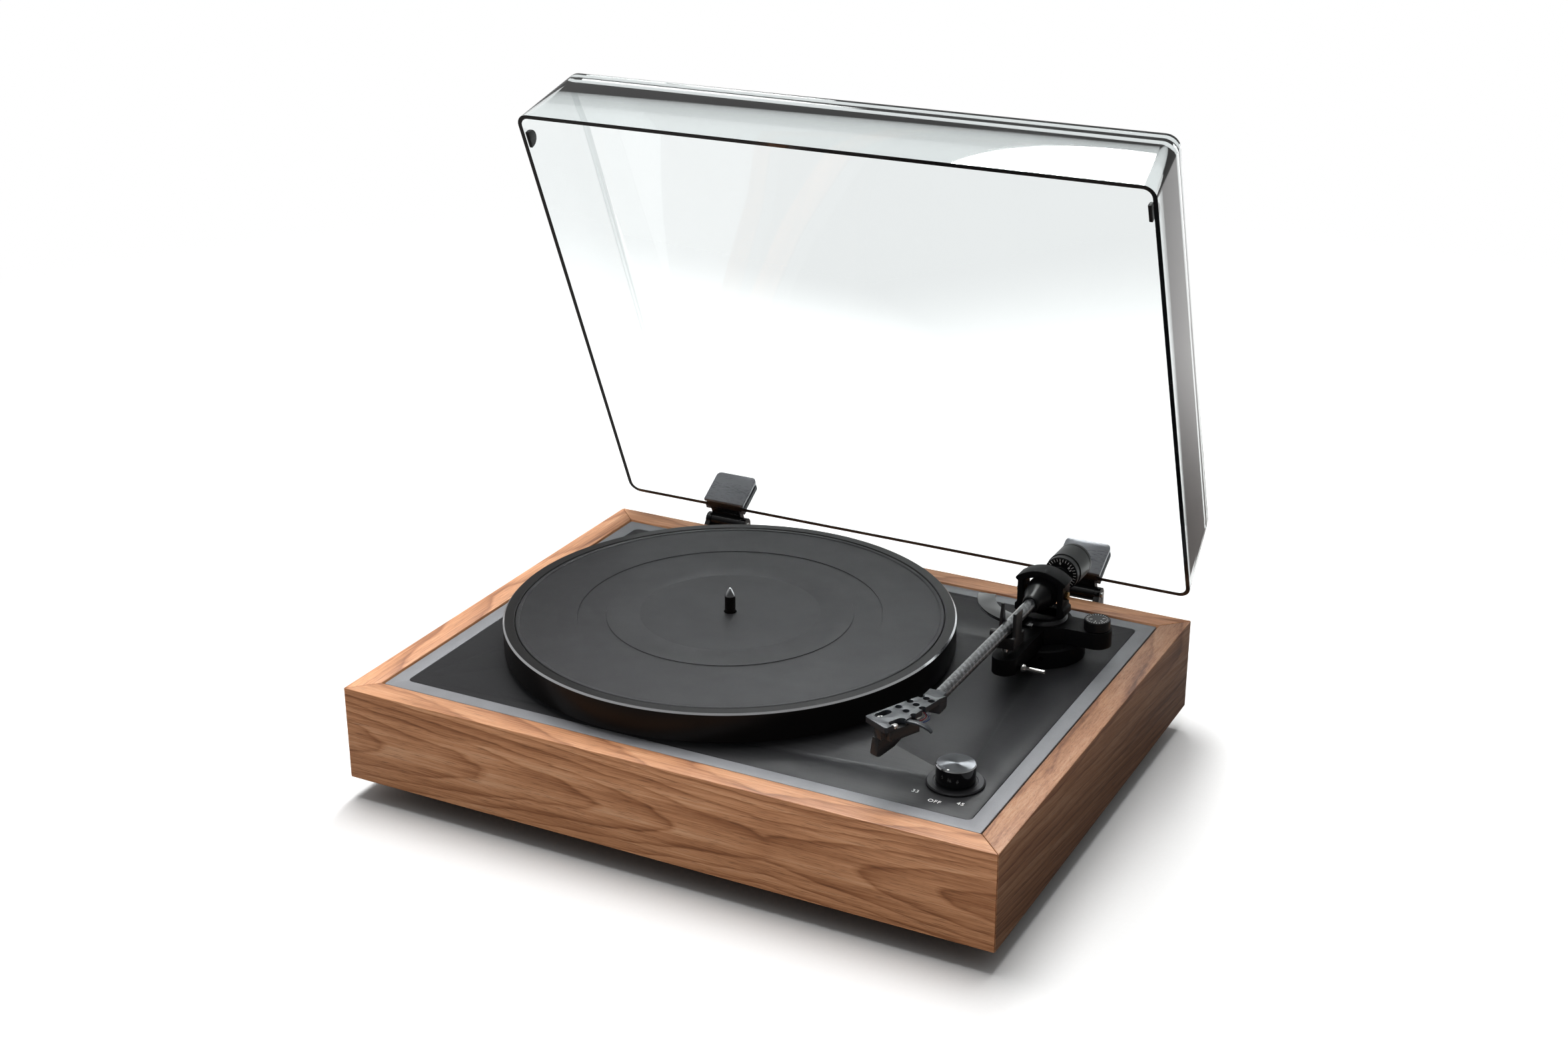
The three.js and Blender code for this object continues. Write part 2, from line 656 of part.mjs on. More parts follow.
function makeLift() {
  const top = armZ - arm.tubeRadius - lift.below;
  const bottom = top - lift.thickness;
  const [from, to] = [(192 * Math.PI) / 180, (282 * Math.PI) / 180];
  const crescent = new THREE.Shape();
  crescent.absarc(arm.x, arm.pivotY, lift.outer, from, to, false);
  crescent.absarc(arm.x, arm.pivotY, lift.inner, to, from, true);
  const plate = raised(crescent, bottom, top, 14);
  const rodBottom = castingTop - 6;
  const rod = bar("z", lift.rodRadius, bottom - rodBottom + 1, [arm.x, liftY, rodBottom], SMALL);
  piece("lift_bar", join(plate, rod), "satinBlack");

  const ball = toSolid(new THREE.SphereGeometry(cue.ball, SMALL, 10).translate(cueX, restY + 3, cueZ));
  const lever = bar("x", cue.rod, cue.length, [cueX, restY + 3, cueZ], SMALL);
  piece("cue_lever", join(ball, lever), "chrome");
}

// ---- tone arm ----
function makeYoke() {
  const hubBottom = castingTop + GAP + collar.height + GAP;
  const hubTop = hubBottom + yoke.hubHeight;
  const [w, inner] = [yoke.width / 2, yoke.width / 2 - yoke.leg];
  const shoulder = armZ + 10;
  const crown = shoulder + yoke.archRise;
  const outer = new THREE.Shape();
  outer.moveTo(-w, hubBottom + 2);
  outer.lineTo(-w + 4, hubBottom);
  outer.lineTo(w - 4, hubBottom);
  outer.lineTo(w, hubBottom + 2);
  outer.lineTo(w, shoulder);
  outer.quadraticCurveTo(w * 0.5, crown, 0, crown);
  outer.quadraticCurveTo(-w * 0.5, crown, -w, shoulder);
  const window = new THREE.Path();
  const windowTop = crown - yoke.crown;
  window.moveTo(-inner, hubTop);
  window.lineTo(inner, hubTop);
  window.lineTo(inner, shoulder - 2);
  window.quadraticCurveTo(inner * 0.5, windowTop, 0, windowTop);
  window.quadraticCurveTo(-inner * 0.5, windowTop, -inner, shoulder - 2);
  outer.holes.push(window);
  const upright = raised(outer, 0, yoke.depth, 8)
    .rotate([90, 0, 0])
    .translate([arm.x, arm.pivotY + yoke.depth / 2, 0]);
  const hub = bar("z", yoke.hubRadius, yoke.hubHeight, [arm.x, arm.pivotY, hubBottom], ROUND);
  const screwHoles = bar("x", pivotScrew.radius + GAP, yoke.width + 4, [arm.x - w - 2, arm.pivotY, armZ], SMALL);
  piece("gimbal_yoke", cut(join(upright, hub), screwHoles), "satinBlack");

  const reach = bearingBlock.radius - 1.2;
  const length = w - reach + pivotScrew.tip - 0.6;
  piece("pivot_screw_left", bar("x", pivotScrew.radius, length, [arm.x - w - 0.4, arm.pivotY, armZ], SMALL), "steel");
  const rightStart = arm.x + w + 0.4 - length;
  piece("pivot_screw_right", bar("x", pivotScrew.radius, length, [rightStart, arm.pivotY, armZ], SMALL), "steel");
}

function makeArm() {
  const { radius, coneLength, coneEnd, stubRadius, stubLength } = bearingBlock;
  const steps = 6;
  const sphere = Array.from({ length: steps + 1 }, (_, i) => {
    const t = -0.62 + (1.24 * i) / steps;
    return [radius * Math.cos(t), radius * Math.sin(t)];
  });
  const profile = [
    [0, -coneLength],
    [coneEnd, -coneLength],
    [radius * 0.78, -radius * 0.82],
    ...sphere,
    [stubRadius + 1.5, radius * 0.75],
    [stubRadius, radius],
    [stubRadius, stubLength],
    [0, stubLength],
  ];
  const turnedBlock = turned(profile, 0, 0, ROUND).rotate([-90, 0, 0]).translate([arm.x, arm.pivotY, armZ]);
  const tubeFront = arm.pivotY - coneLength + 8;
  const socket = bar("y", arm.tubeRadius + GAP, 20, [arm.x, tubeFront - 20 + GAP, armZ], SMALL);
  const pivots = [-1, 1].map((side) => {
    const x = side < 0 ? arm.x - radius - 2 : arm.x + radius - 2.2;
    return bar("x", pivotScrew.radius + GAP, 4.2, [x, arm.pivotY, armZ], SMALL);
  });
  piece("arm_bearing_block", cut(turnedBlock, socket, ...pivots), "satinBlack");
  const tubeLength = tubeFront - arm.tubeEndY;
  piece("arm_tube", bar("y", arm.tubeRadius, tubeLength, [arm.x, arm.tubeEndY, armZ], 24), "carbon");
}

// The headshell and the cartridge are laid out in a frame turned by the offset angle.
const head = new THREE.Group();
head.position.set(arm.x + headshell.aside, arm.tubeEndY + headshell.insert, 0);
head.rotation.z = (headshell.turn * Math.PI) / 180;
turntable.add(head);

const headCentre = cartridge.offset;
const screwY = headshell.front + 8.2;
const slot = { half: 2.5, ahead: 3.6, behind: 8 };

function headHoles(z0, height) {
  const slots = [-1, 1].map((side) => {
    const x = headCentre + (side * cartridge.screwSpread) / 2;
    return box(x - slot.half, x + slot.half, screwY - slot.ahead, screwY + slot.behind, z0, z0 + height);
  });
  const { radius, firstRow, rowPitch, centre, drift, pitch, spread } = shellHoles;
  const rows = Array.from({ length: shellHoles.rows }, (_, row) =>
    [-1, 0, 1].map((column) => {
      const x = centre + drift * row + column * (pitch + spread * row);
      return bar("z", radius, height, [x, firstRow - rowPitch * row, z0], 12);
    }),
  ).flat();
  return [...slots, ...rows];
}

function makeHeadshell() {
  const top = armZ + headshell.above;
  const bottom = top - headshell.thickness;
  const { left, front, frontWidth } = headshell;
  const right = left + frontWidth;
  const outline = polygon([
    [left, front + 1],
    [left + 1, front],
    [right - 1, front - 0.6],
    [right, front + 0.6],
    [right - 0.6, front + 14],
    [shellRear.width, shellRear.taperEnd],
    [shellRear.width, shellRear.right],
    [left, shellRear.left],
  ]);
  const plate = cut(raised(outline, bottom, top), ...headHoles(bottom - 1, headshell.thickness + 2));
  // The collar that holds the tube is square to the arm, so it is turned back by the offset angle.
  const collarBottom = armZ - arm.tubeRadius - shellCollar.under;
  const { left: x0, right: x1, front: y0, back: y1 } = shellCollar;
  const collarBlock = box(x0, x1, y0, y1, collarBottom, top - 0.02);
  const backTurn = -headshell.turn;
  const tubeEnd = [arm.x - head.position.x, arm.tubeEndY - head.position.y - GAP, armZ];
  const bore = bar("y", arm.tubeRadius + GAP, 30, tubeEnd, ROUND);
  const collarPiece = cut(collarBlock, bore).rotate([0, 0, backTurn]);
  const liftPath = new THREE.CatmullRomCurve3([
    new THREE.Vector3(right - 3, front + 17, bottom + 2),
    new THREE.Vector3(right + 3, front + 19.5, bottom + 2),
    new THREE.Vector3(right + 7.5, front + 22, bottom + 0.8),
    new THREE.Vector3(right + 11.5, front + 24.5, bottom - 2.4),
  ]);
  const [halfThick, halfWide] = [fingerTab.thickness / 2, fingerTab.width / 2];
  const strip = polygon([
    [-halfThick, -halfWide],
    [halfThick, -halfWide],
    [halfThick, halfWide],
    [-halfThick, halfWide],
  ]);
  const along = { steps: fingerTab.steps, extrudePath: liftPath, bevelEnabled: false };
  const fingerLift = toSolid(new THREE.ExtrudeGeometry(strip, along));
  const boreAcross = bore.rotate([0, 0, backTurn]);
  piece("headshell", join(cut(plate, boreAcross), collarPiece, fingerLift), "satinBlack", head);
}

function makeCartridge() {
  const plateBottom = armZ + headshell.above - headshell.thickness;
  const top = plateBottom - GAP;
  const bottom = top - cartridge.height;
  const half = cartridge.width / 2;
  const frontY = headshell.front + 1.2;
  const noseHalf = stylus.width / 2;
  const back = frontY + cartridge.length;
  const body = join(
    box(headCentre - half, headCentre + half, frontY + 3, back, bottom, top),
    box(headCentre - noseHalf, headCentre + noseHalf, frontY, frontY + 4, bottom, top),
  );
  const holes = [-1, 1].map((side) => {
    const x = headCentre + (side * cartridge.screwSpread) / 2;
    return bar("z", 1.5, 6, [x, screwY, top - 5], 12);
  });
  piece("cartridge_body", cut(body, ...holes), "plastic", head);

  const tip = armZ - stylus.drop;
  const unitTop = bottom - GAP;
  const side = polygon([
    [frontY, unitTop],
    [frontY - stylus.rake, tip + 1],
    [frontY - stylus.rake + 2.5, tip],
    [frontY + 12, tip + 3.4],
    [frontY + cartridge.length - 1, unitTop],
  ]);
  const wedge = raised(side, -stylus.width / 2, stylus.width / 2).rotate([90, 0, 90]);
  piece("stylus_unit", wedge.translate([headCentre + stylus.offset, 0, 0]), "plastic", head);

  const screwNames = { left: -1, right: 1 };
  for (const [name, sign] of Object.entries(screwNames)) {
    const x = headCentre + (sign * cartridge.screwSpread) / 2;
    const shank = bar("z", 1.2, 6, [x, screwY, top - 4.5], 10);
    const cap = bar("z", 2.1, 1.6, [x, screwY, top + 1.2], 12);
    piece(`cartridge_screw_${name}`, join(shank, cap), "steel", head);
  }
}

function makeCounterweight() {
  const start = arm.pivotY + counterweight.start;
  const sleeveInner = bearingBlock.stubRadius + GAP;
  const sleeveOuter = counterweight.bore - GAP;
  const ringAlongY = (inner, outer, from, length, sides) =>
    cut(
      bar("y", outer, length, [arm.x, from, armZ], sides),
      bar("y", inner, length + 2, [arm.x, from - 1, armZ], SMALL),
    );
  const sleeve = ringAlongY(sleeveInner, sleeveOuter, start - 2, counterweight.length + 6, SMALL);
  piece("counterweight_sleeve", sleeve, "steel");
  const bodyStart = start + counterweight.dial + GAP;
  const weightLength = counterweight.length - counterweight.dial;
  const weight = ringAlongY(counterweight.bore, counterweight.radius, bodyStart, weightLength, ROUND);
  piece("counterweight", weight, "satinBlack");
  const dial = ringAlongY(counterweight.bore, counterweight.radius - 0.6, start, counterweight.dial, ROUND);
  piece("tracking_dial", dial, "satinBlack");
}

// ---- dust cover ----
// Everything on the cover is laid out closed, about the hinge axis, and the group is then opened.
const hingeY = plinth.depth / 2 + hinge.behind;
const hingeZ = plinthTop + hinge.above;
const cover = new THREE.Group();
cover.position.set(0, hingeY, hingeZ);
cover.rotation.x = (-lid.openAngle * Math.PI) / 180;
turntable.add(cover);

const rimRear = -hinge.behind - 1.8;
const rimZ = lid.gap - hinge.above;

// One ring of the cover's wall: a rounded rectangle of points at a height.
function coverRing(inset, z, cornerRadius) {
  const share = (z - rimZ) / lid.height;
  const halfWidth = lid.width / 2 - lid.sideDraft * share - inset;
  const rear = rimRear - lid.rearDraft * share - inset;
  const front = rimRear - lid.depth + lid.frontDraft * share + inset;
  const depth = rear - front;
  const shape = roundedRect(2 * halfWidth, depth, cornerRadius);
  const points = shape.extractPoints(4).shape;
  return points.map((p) => new THREE.Vector3(p.x, p.y + (rear + front) / 2, z));
}

function coverShell() {
  const top = rimZ + lid.height;
  const { cornerRadius: r, edgeRadius: e, wall } = lid;
  const soft = e * (1 - Math.SQRT1_2);
  const rings = [
    coverRing(e, top, r - e + 1),
    coverRing(soft, top - soft, r - soft),
    coverRing(0, top - e, r),
    coverRing(0, rimZ, r),
    coverRing(wall, rimZ, r - wall),
    coverRing(wall, top - wall, r - wall),
  ];
  const count = rings[0].length;
  const middle = (ring) => ring.reduce((sum, p) => sum.add(p), new THREE.Vector3()).divideScalar(count);
  const vertices = [...rings.flat(), middle(rings[0]), middle(rings.at(-1))];
  const [topCentre, ceilingCentre] = [rings.length * count, rings.length * count + 1];
  const faces = [];
  for (let i = 0; i < count; i += 1) {
    const next = (i + 1) % count;
    faces.push(topCentre, i, next);
    for (let ring = 0; ring < rings.length - 1; ring += 1) {
      const [a, b] = [ring * count + i, ring * count + next];
      faces.push(a, a + count, b, b, a + count, b + count);
    }
    const last = (rings.length - 1) * count;
    faces.push(ceilingCentre, last + next, last + i);
  }
  const geometry = new THREE.BufferGeometry().setFromPoints(vertices);
  geometry.setIndex(faces);
  return toSolid(geometry);
}

function makeCover() {
  const notchHalf = hinge.width / 2 - 2;
  const webTop = rimZ + 5;
  const notches = [-1, 1].map((side) =>
    box(
      side * hinge.x - notchHalf,
      side * hinge.x + notchHalf,
      rimRear - 8,
      rimRear + 4,
      rimZ - 1,
      webTop + GAP,
    ),
  );
  piece("dust_cover", cut(coverShell(), ...notches), "acrylic", cover);

  for (const [name, side] of [["left", -1], ["right", 1]]) {
    const centre = side * hinge.x;
    const half = hinge.width / 2;
    const lean = (z) => (lid.rearDraft * (z - rimZ)) / lid.height;
    const plateLow = rimZ + 0.2;
    const plateHigh = plateLow + hinge.plate;
    const innerFace = (z) => rimRear - lid.wall - lean(z) - GAP;
    const outerFace = (z) => rimRear - lean(z) + GAP;
    // The side outline of the clip in y and z: it holds the wall between two plates.
    const inside = polygon([
      [innerFace(plateLow) - 2.6, plateLow],
      [innerFace(plateLow), plateLow],
      [innerFace(plateHigh), plateHigh],
      [innerFace(plateHigh) - 2.6, plateHigh],
    ]);
    const outside = polygon([
      [outerFace(plateLow), plateLow],
      [outerFace(plateLow) + 5, plateLow],
      [outerFace(plateHigh) + 3.4, plateHigh],
      [outerFace(plateHigh), plateHigh],
    ]);
    const slab = (outline, width) => raised(outline, -width / 2, width / 2).rotate([90, 0, 90]).translate([centre, 0, 0]);
    const web = box(
      centre - notchHalf + GAP,
      centre + notchHalf - GAP,
      innerFace(plateLow) - 1,
      outerFace(plateLow) + 1,
      plateLow,
      webTop,
    );
    const knuckleHalf = half - hinge.ear - GAP;
    const neck = box(centre - knuckleHalf, centre + knuckleHalf, outerFace(0) + 1, 0, plateLow, hinge.knuckle - 0.6);
    const knuckle = bar("x", hinge.knuckle, 2 * knuckleHalf, [centre - knuckleHalf, 0, 0], SMALL);
    const bore = bar("x", hinge.pin + GAP, 2 * half + 2, [centre - half - 1, 0, 0], SMALL);
    const clip = cut(join(slab(inside, hinge.width), slab(outside, hinge.width), web, neck, knuckle), bore);
    piece(`hinge_clip_${name}`, clip, "gloss", cover);

    const wallAt = (z) => lid.width / 2 - (lid.sideDraft * (z - rimZ)) / lid.height - lid.wall - GAP;
    const y0 = rimRear - lid.depth + bumper.fromFront;
    const reach = wallAt(rimZ + bumper.height);
    // A D-shaped pad: flat along the rim, round above.
    const [padLow, padRound] = [rimZ - 0.2, bumper.length / 2];
    const outline = new THREE.Shape();
    outline.moveTo(y0, padLow);
    outline.lineTo(y0 + bumper.length, padLow);
    outline.absarc(y0 + padRound, padLow + bumper.height - padRound, padRound, 0, Math.PI);
    const x0 = side > 0 ? reach - bumper.thickness : -reach;
    const pad = raised(outline, 0, bumper.thickness, 5).rotate([90, 0, 90]).translate([x0, 0, 0]);
    piece(`cover_bumper_${name}`, pad, "rubber", cover);
  }
}

function makeHingeBases() {
  const back = plinth.depth / 2 + GAP;
  for (const [name, side] of [["left", -1], ["right", 1]]) {
    const centre = side * hinge.x;
    const half = hinge.width / 2;
    const low = plinthTop - 34;
    const high = plinthTop - 1.5;
    const plate = box(centre - half, centre + half, back, back + 4, low, high - 6);
    const ears = [-1, 1].map((end) => {
      const x0 = end < 0 ? centre - half : centre + half - hinge.ear;
      const cheek = raised(
        polygon([
          [back, low + 6],
          [back + 4, low],
          [hingeY + hinge.knuckle, hingeZ - 14],
          [hingeY + hinge.knuckle, hingeZ],
          [hingeY - hinge.knuckle, hingeZ],
          [back, high - 6],
        ]),
        0,
        hinge.ear,
      );
      const eye = bar("x", hinge.knuckle, hinge.ear, [x0, hingeY, hingeZ], SMALL);
      return join(cheek.rotate([90, 0, 90]).translate([x0, 0, 0]), eye);
    });
    const bore = bar("x", hinge.pin + GAP, 2 * half + 2, [centre - half - 1, hingeY, hingeZ], SMALL);
    piece(`hinge_base_${name}`, cut(join(plate, ...ears), bore), "gloss");
    const pin = bar("x", hinge.pin, 2 * half + 2, [centre - half - 1, hingeY, hingeZ], SMALL);
    piece(`hinge_pin_${name}`, pin, "steel");
  }
}

makePlinth();
makeDeck();
makeFeet();
makeBearing();
makePlatter();
makeMotor();
makeElectronics();
makeTerminals();
makeKnob();
makeArmBase();
makeRest();
makeLift();
makeYoke();
makeArm();
makeHeadshell();
makeCartridge();
makeCounterweight();
makeCover();
makeHingeBases();

// ---- origin: the middle of the bounding box's bottom face ----
turntable.updateMatrixWorld(true);
const bounds = new THREE.Box3().setFromObject(turntable, true);
const centre = bounds.getCenter(new THREE.Vector3());
turntable.position.set(-centre.x, -centre.y, -bounds.min.z);
turntable.updateMatrixWorld(true);

export default turntable;
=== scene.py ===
# %% [markdown]
# # A belt-drive turntable with a clear hinged cover
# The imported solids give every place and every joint. This script gives them their looks:
# turned metal, walnut veneer, a rubber mat, a carbon arm and clear acrylic.

# %% Load the frame
import math
import bmesh
import bpy
from mathutils import Matrix, Vector


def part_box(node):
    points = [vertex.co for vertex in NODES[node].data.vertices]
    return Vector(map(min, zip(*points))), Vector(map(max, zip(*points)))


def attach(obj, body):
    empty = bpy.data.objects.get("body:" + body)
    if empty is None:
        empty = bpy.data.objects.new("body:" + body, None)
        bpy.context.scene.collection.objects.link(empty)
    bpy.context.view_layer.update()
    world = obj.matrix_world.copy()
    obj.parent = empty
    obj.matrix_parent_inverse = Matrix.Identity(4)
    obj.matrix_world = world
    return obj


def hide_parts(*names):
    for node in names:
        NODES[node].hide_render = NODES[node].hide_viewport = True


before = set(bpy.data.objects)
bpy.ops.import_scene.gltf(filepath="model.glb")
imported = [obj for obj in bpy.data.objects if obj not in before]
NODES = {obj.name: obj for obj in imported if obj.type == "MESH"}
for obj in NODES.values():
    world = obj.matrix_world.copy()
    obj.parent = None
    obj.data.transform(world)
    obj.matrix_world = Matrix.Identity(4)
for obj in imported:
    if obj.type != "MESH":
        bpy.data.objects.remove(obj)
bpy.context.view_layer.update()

MM = 0.001


def lo(node):
    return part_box(node)[0] / MM


def hi(node):
    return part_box(node)[1] / MM


def mid(node):
    return (lo(node) + hi(node)) / 2


def half_width(node):
    return (hi(node).x - lo(node).x) / 2


def levels(node):
    """A node's lowest and highest heights."""
    return lo(node).z, hi(node).z


def run_along(node):
    """A node's length along Y."""
    return hi(node).y - lo(node).y


# %% Small tools for shader nodes


def linear(colour):
    """A hex colour in sRGB, turned into linear RGBA."""
    parts = [int(colour[i:i + 2], 16) / 255 for i in (1, 3, 5)]
    return [c / 12.92 if c <= 0.04045 else ((c + 0.055) / 1.055) ** 2.4 for c in parts] + [1.0]


def feed(tree, node, inputs):
    """Sets a node's inputs. An input is a value, or a socket to link from."""
    for key, value in inputs.items():
        if isinstance(value, bpy.types.NodeSocket):
            tree.links.new(value, node.inputs[key])
        else:
            node.inputs[key].default_value = value
    return node


def add(tree, kind, inputs=None, **settings):
    node = tree.nodes.new(kind)
    for key, value in settings.items():
        setattr(node, key, value)
    return feed(tree, node, inputs or {})


def blank(name):
    """A material with its shader, and its object coordinates in millimetres."""
    material = bpy.data.materials.new(name)
    material.use_nodes = True
    tree = material.node_tree
    shader = tree.nodes["Principled BSDF"]
    place = add(tree, "ShaderNodeTexCoord").outputs["Object"]
    in_mm = add(tree, "ShaderNodeVectorMath", {0: place, "Scale": 1000.0}, operation="SCALE").outputs[0]
    return material, tree, shader, in_mm


def stretched(tree, vector, scale):
    return add(tree, "ShaderNodeVectorMath", {0: vector, 1: scale}, operation="MULTIPLY").outputs[0]


def noise(tree, vector, detail=3.0, rough=0.5):
    return add(tree, "ShaderNodeTexNoise", {"Vector": vector, "Scale": 1.0, "Detail": detail,
        "Roughness": rough}).outputs[0]


def maths(tree, operation, a, b=0.0, c=0.0):
    return add(tree, "ShaderNodeMath", {0: a, 1: b, 2: c}, operation=operation).outputs[0]


def spread(tree, value, low, high, out_low, out_high):
    inputs = {"Value": value, "From Min": low, "From Max": high, "To Min": out_low, "To Max": out_high}
    return add(tree, "ShaderNodeMapRange", inputs).outputs[0]


def mixed(tree, factor, a, b, blend="MIX"):
    return add(tree, "ShaderNodeMixRGB", {"Fac": factor, "Color1": a, "Color2": b},
        blend_type=blend).outputs[0]


def bumped(tree, shader, height, distance_mm, strength=1.0):
    bump = add(tree, "ShaderNodeBump", {"Height": height, "Distance": distance_mm * MM, "Strength": strength})
    tree.links.new(bump.outputs[0], shader.inputs["Normal"])


# %% [markdown]
# ## Materials
# Most pieces are one substance with a slight variation of tone and gloss and a fine surface.

# %% One-substance materials


def substance(name, colour, roughness, metallic=0.0, grain_mm=0.5, relief_mm=0.01, tone=0.12,
              stretch=(1, 1, 1), gloss=0.06, coat=0.0, shine=0.5):
    """tone and gloss say how far colour and roughness vary; relief_mm is the height of the fine grain."""
    material, tree, shader, place = blank(name)
    fine = noise(tree, stretched(tree, place, [s / grain_mm for s in stretch]), 2.0)
    broad = noise(tree, stretched(tree, place, [s / (grain_mm * 40) for s in stretch]), 2.0)
    both = maths(tree, "ADD", maths(tree, "MULTIPLY", fine, 0.6), maths(tree, "MULTIPLY", broad, 0.4))
    base = linear(colour)
    light = [min(1.0, c * (1 + tone)) for c in base[:3]] + [1.0]
    dark = [c * (1 - tone) for c in base[:3]] + [1.0]
    feed(tree, shader, {
        "Base Color": mixed(tree, spread(tree, both, 0.3, 0.7, 0, 1), dark, light),
        "Roughness": spread(tree, both, 0.3, 0.7, max(0.02, roughness - gloss), roughness + gloss),
        "Metallic": metallic, "Coat Weight": coat, "Specular IOR Level": shine,
    })
    bumped(tree, shader, fine, relief_mm)
    return material


SATIN = substance("satin black lacquer", "#0a0a0b", 0.36, 0.0, 0.25, 0.006, shine=0.22)
PLATTER = substance("satin black platter", "#080707", 0.33, 0.0, 0.3, 0.004, shine=0.2)
CAST = substance("black cast metal", "#070708", 0.48, 0.0, 0.35, 0.02, shine=0.08)
SHELL = substance("dark anodised headshell", "#202428", 0.42, 0.25, 0.3, 0.008)
FLANGE = substance("grey black turned metal", "#1c1c1e", 0.4, 0.5, 0.3, 0.006)
PLASTIC = substance("moulded black plastic", "#0c0c0d", 0.38, 0.0, 0.6, 0.012)
CARTRIDGE = substance("cartridge plastic", "#101112", 0.3, 0.0, 0.4, 0.006)
GLOSS = substance("polished black plastic", "#060607", 0.1, 0.0, 2.0, 0.004, gloss=0.03, coat=0.4)
CLIP_TOP = substance("brushed dark clip plate", "#66676a", 0.3, 0.7, 0.3, 0.01, stretch=(0.06, 1, 1))
RUBBER = substance("mat rubber", "#1a1a1c", 0.52, 0.0, 0.45, 0.02, shine=0.3)
SOFT_RUBBER = substance("bumper rubber", "#0b0b0c", 0.5, 0.0, 0.5, 0.02)
BELT = substance("belt rubber", "#161617", 0.6, 0.0, 0.4, 0.02)
BLASTED = substance("blasted silver metal", "#77787b", 0.6, 0.25, 0.35, 0.03, tone=0.16)
BRIGHT = substance("diamond-cut edge", "#e2e3e5", 0.16, 1.0, 0.5, 0.002, tone=0.04)
STEEL = substance("turned steel", "#b4b6ba", 0.24, 1.0, 0.2, 0.006, stretch=(1, 1, 8))
DARK_STEEL = substance("dark spindle steel", "#4b4845", 0.28, 1.0, 0.2, 0.006, stretch=(1, 1, 8))
CHROME = substance("polished chrome", "#e6e4e0", 0.07, 1.0, 1.0, 0.001, tone=0.03, gloss=0.03)
BRASS = substance("turned brass", "#b08d57", 0.28, 1.0, 0.3, 0.006)
BOARD = substance("wood fibre board", "#6b5240", 0.8, 0.0, 0.8, 0.08, tone=0.25)
GREEN_BOARD = substance("circuit board lacquer", "#1e5a35", 0.35, 0.0, 1.2, 0.02, tone=0.25)
INK = substance("white printing ink", "#d8d8d6", 0.5, 0.0, 0.3, 0.01)
WIRE_COLOURS = {"white": "#cfcfc9", "red": "#8e1020", "green": "#0d5a3c", "blue": "#1a2c55"}
WIRES = {}
for name, colour in WIRE_COLOURS.items():
    WIRES[name] = substance(f"{name} wire", colour, 0.4, 0.0, 0.3)
print("plain materials", len(bpy.data.materials))

# %% Walnut veneer
# Nested arches meet at one point along the rail, and fine streaks and pores run with the grain.


def fill_ramp(node, stops):
    """Colours by position. Those at 0 and 1 come first and take the ramp's own end stops."""
    elements = node.color_ramp.elements
    for position, colour in stops.items():
        end = position in (0, 1)
        stop = elements[position] if end else elements.new(position)
        stop.color = colour


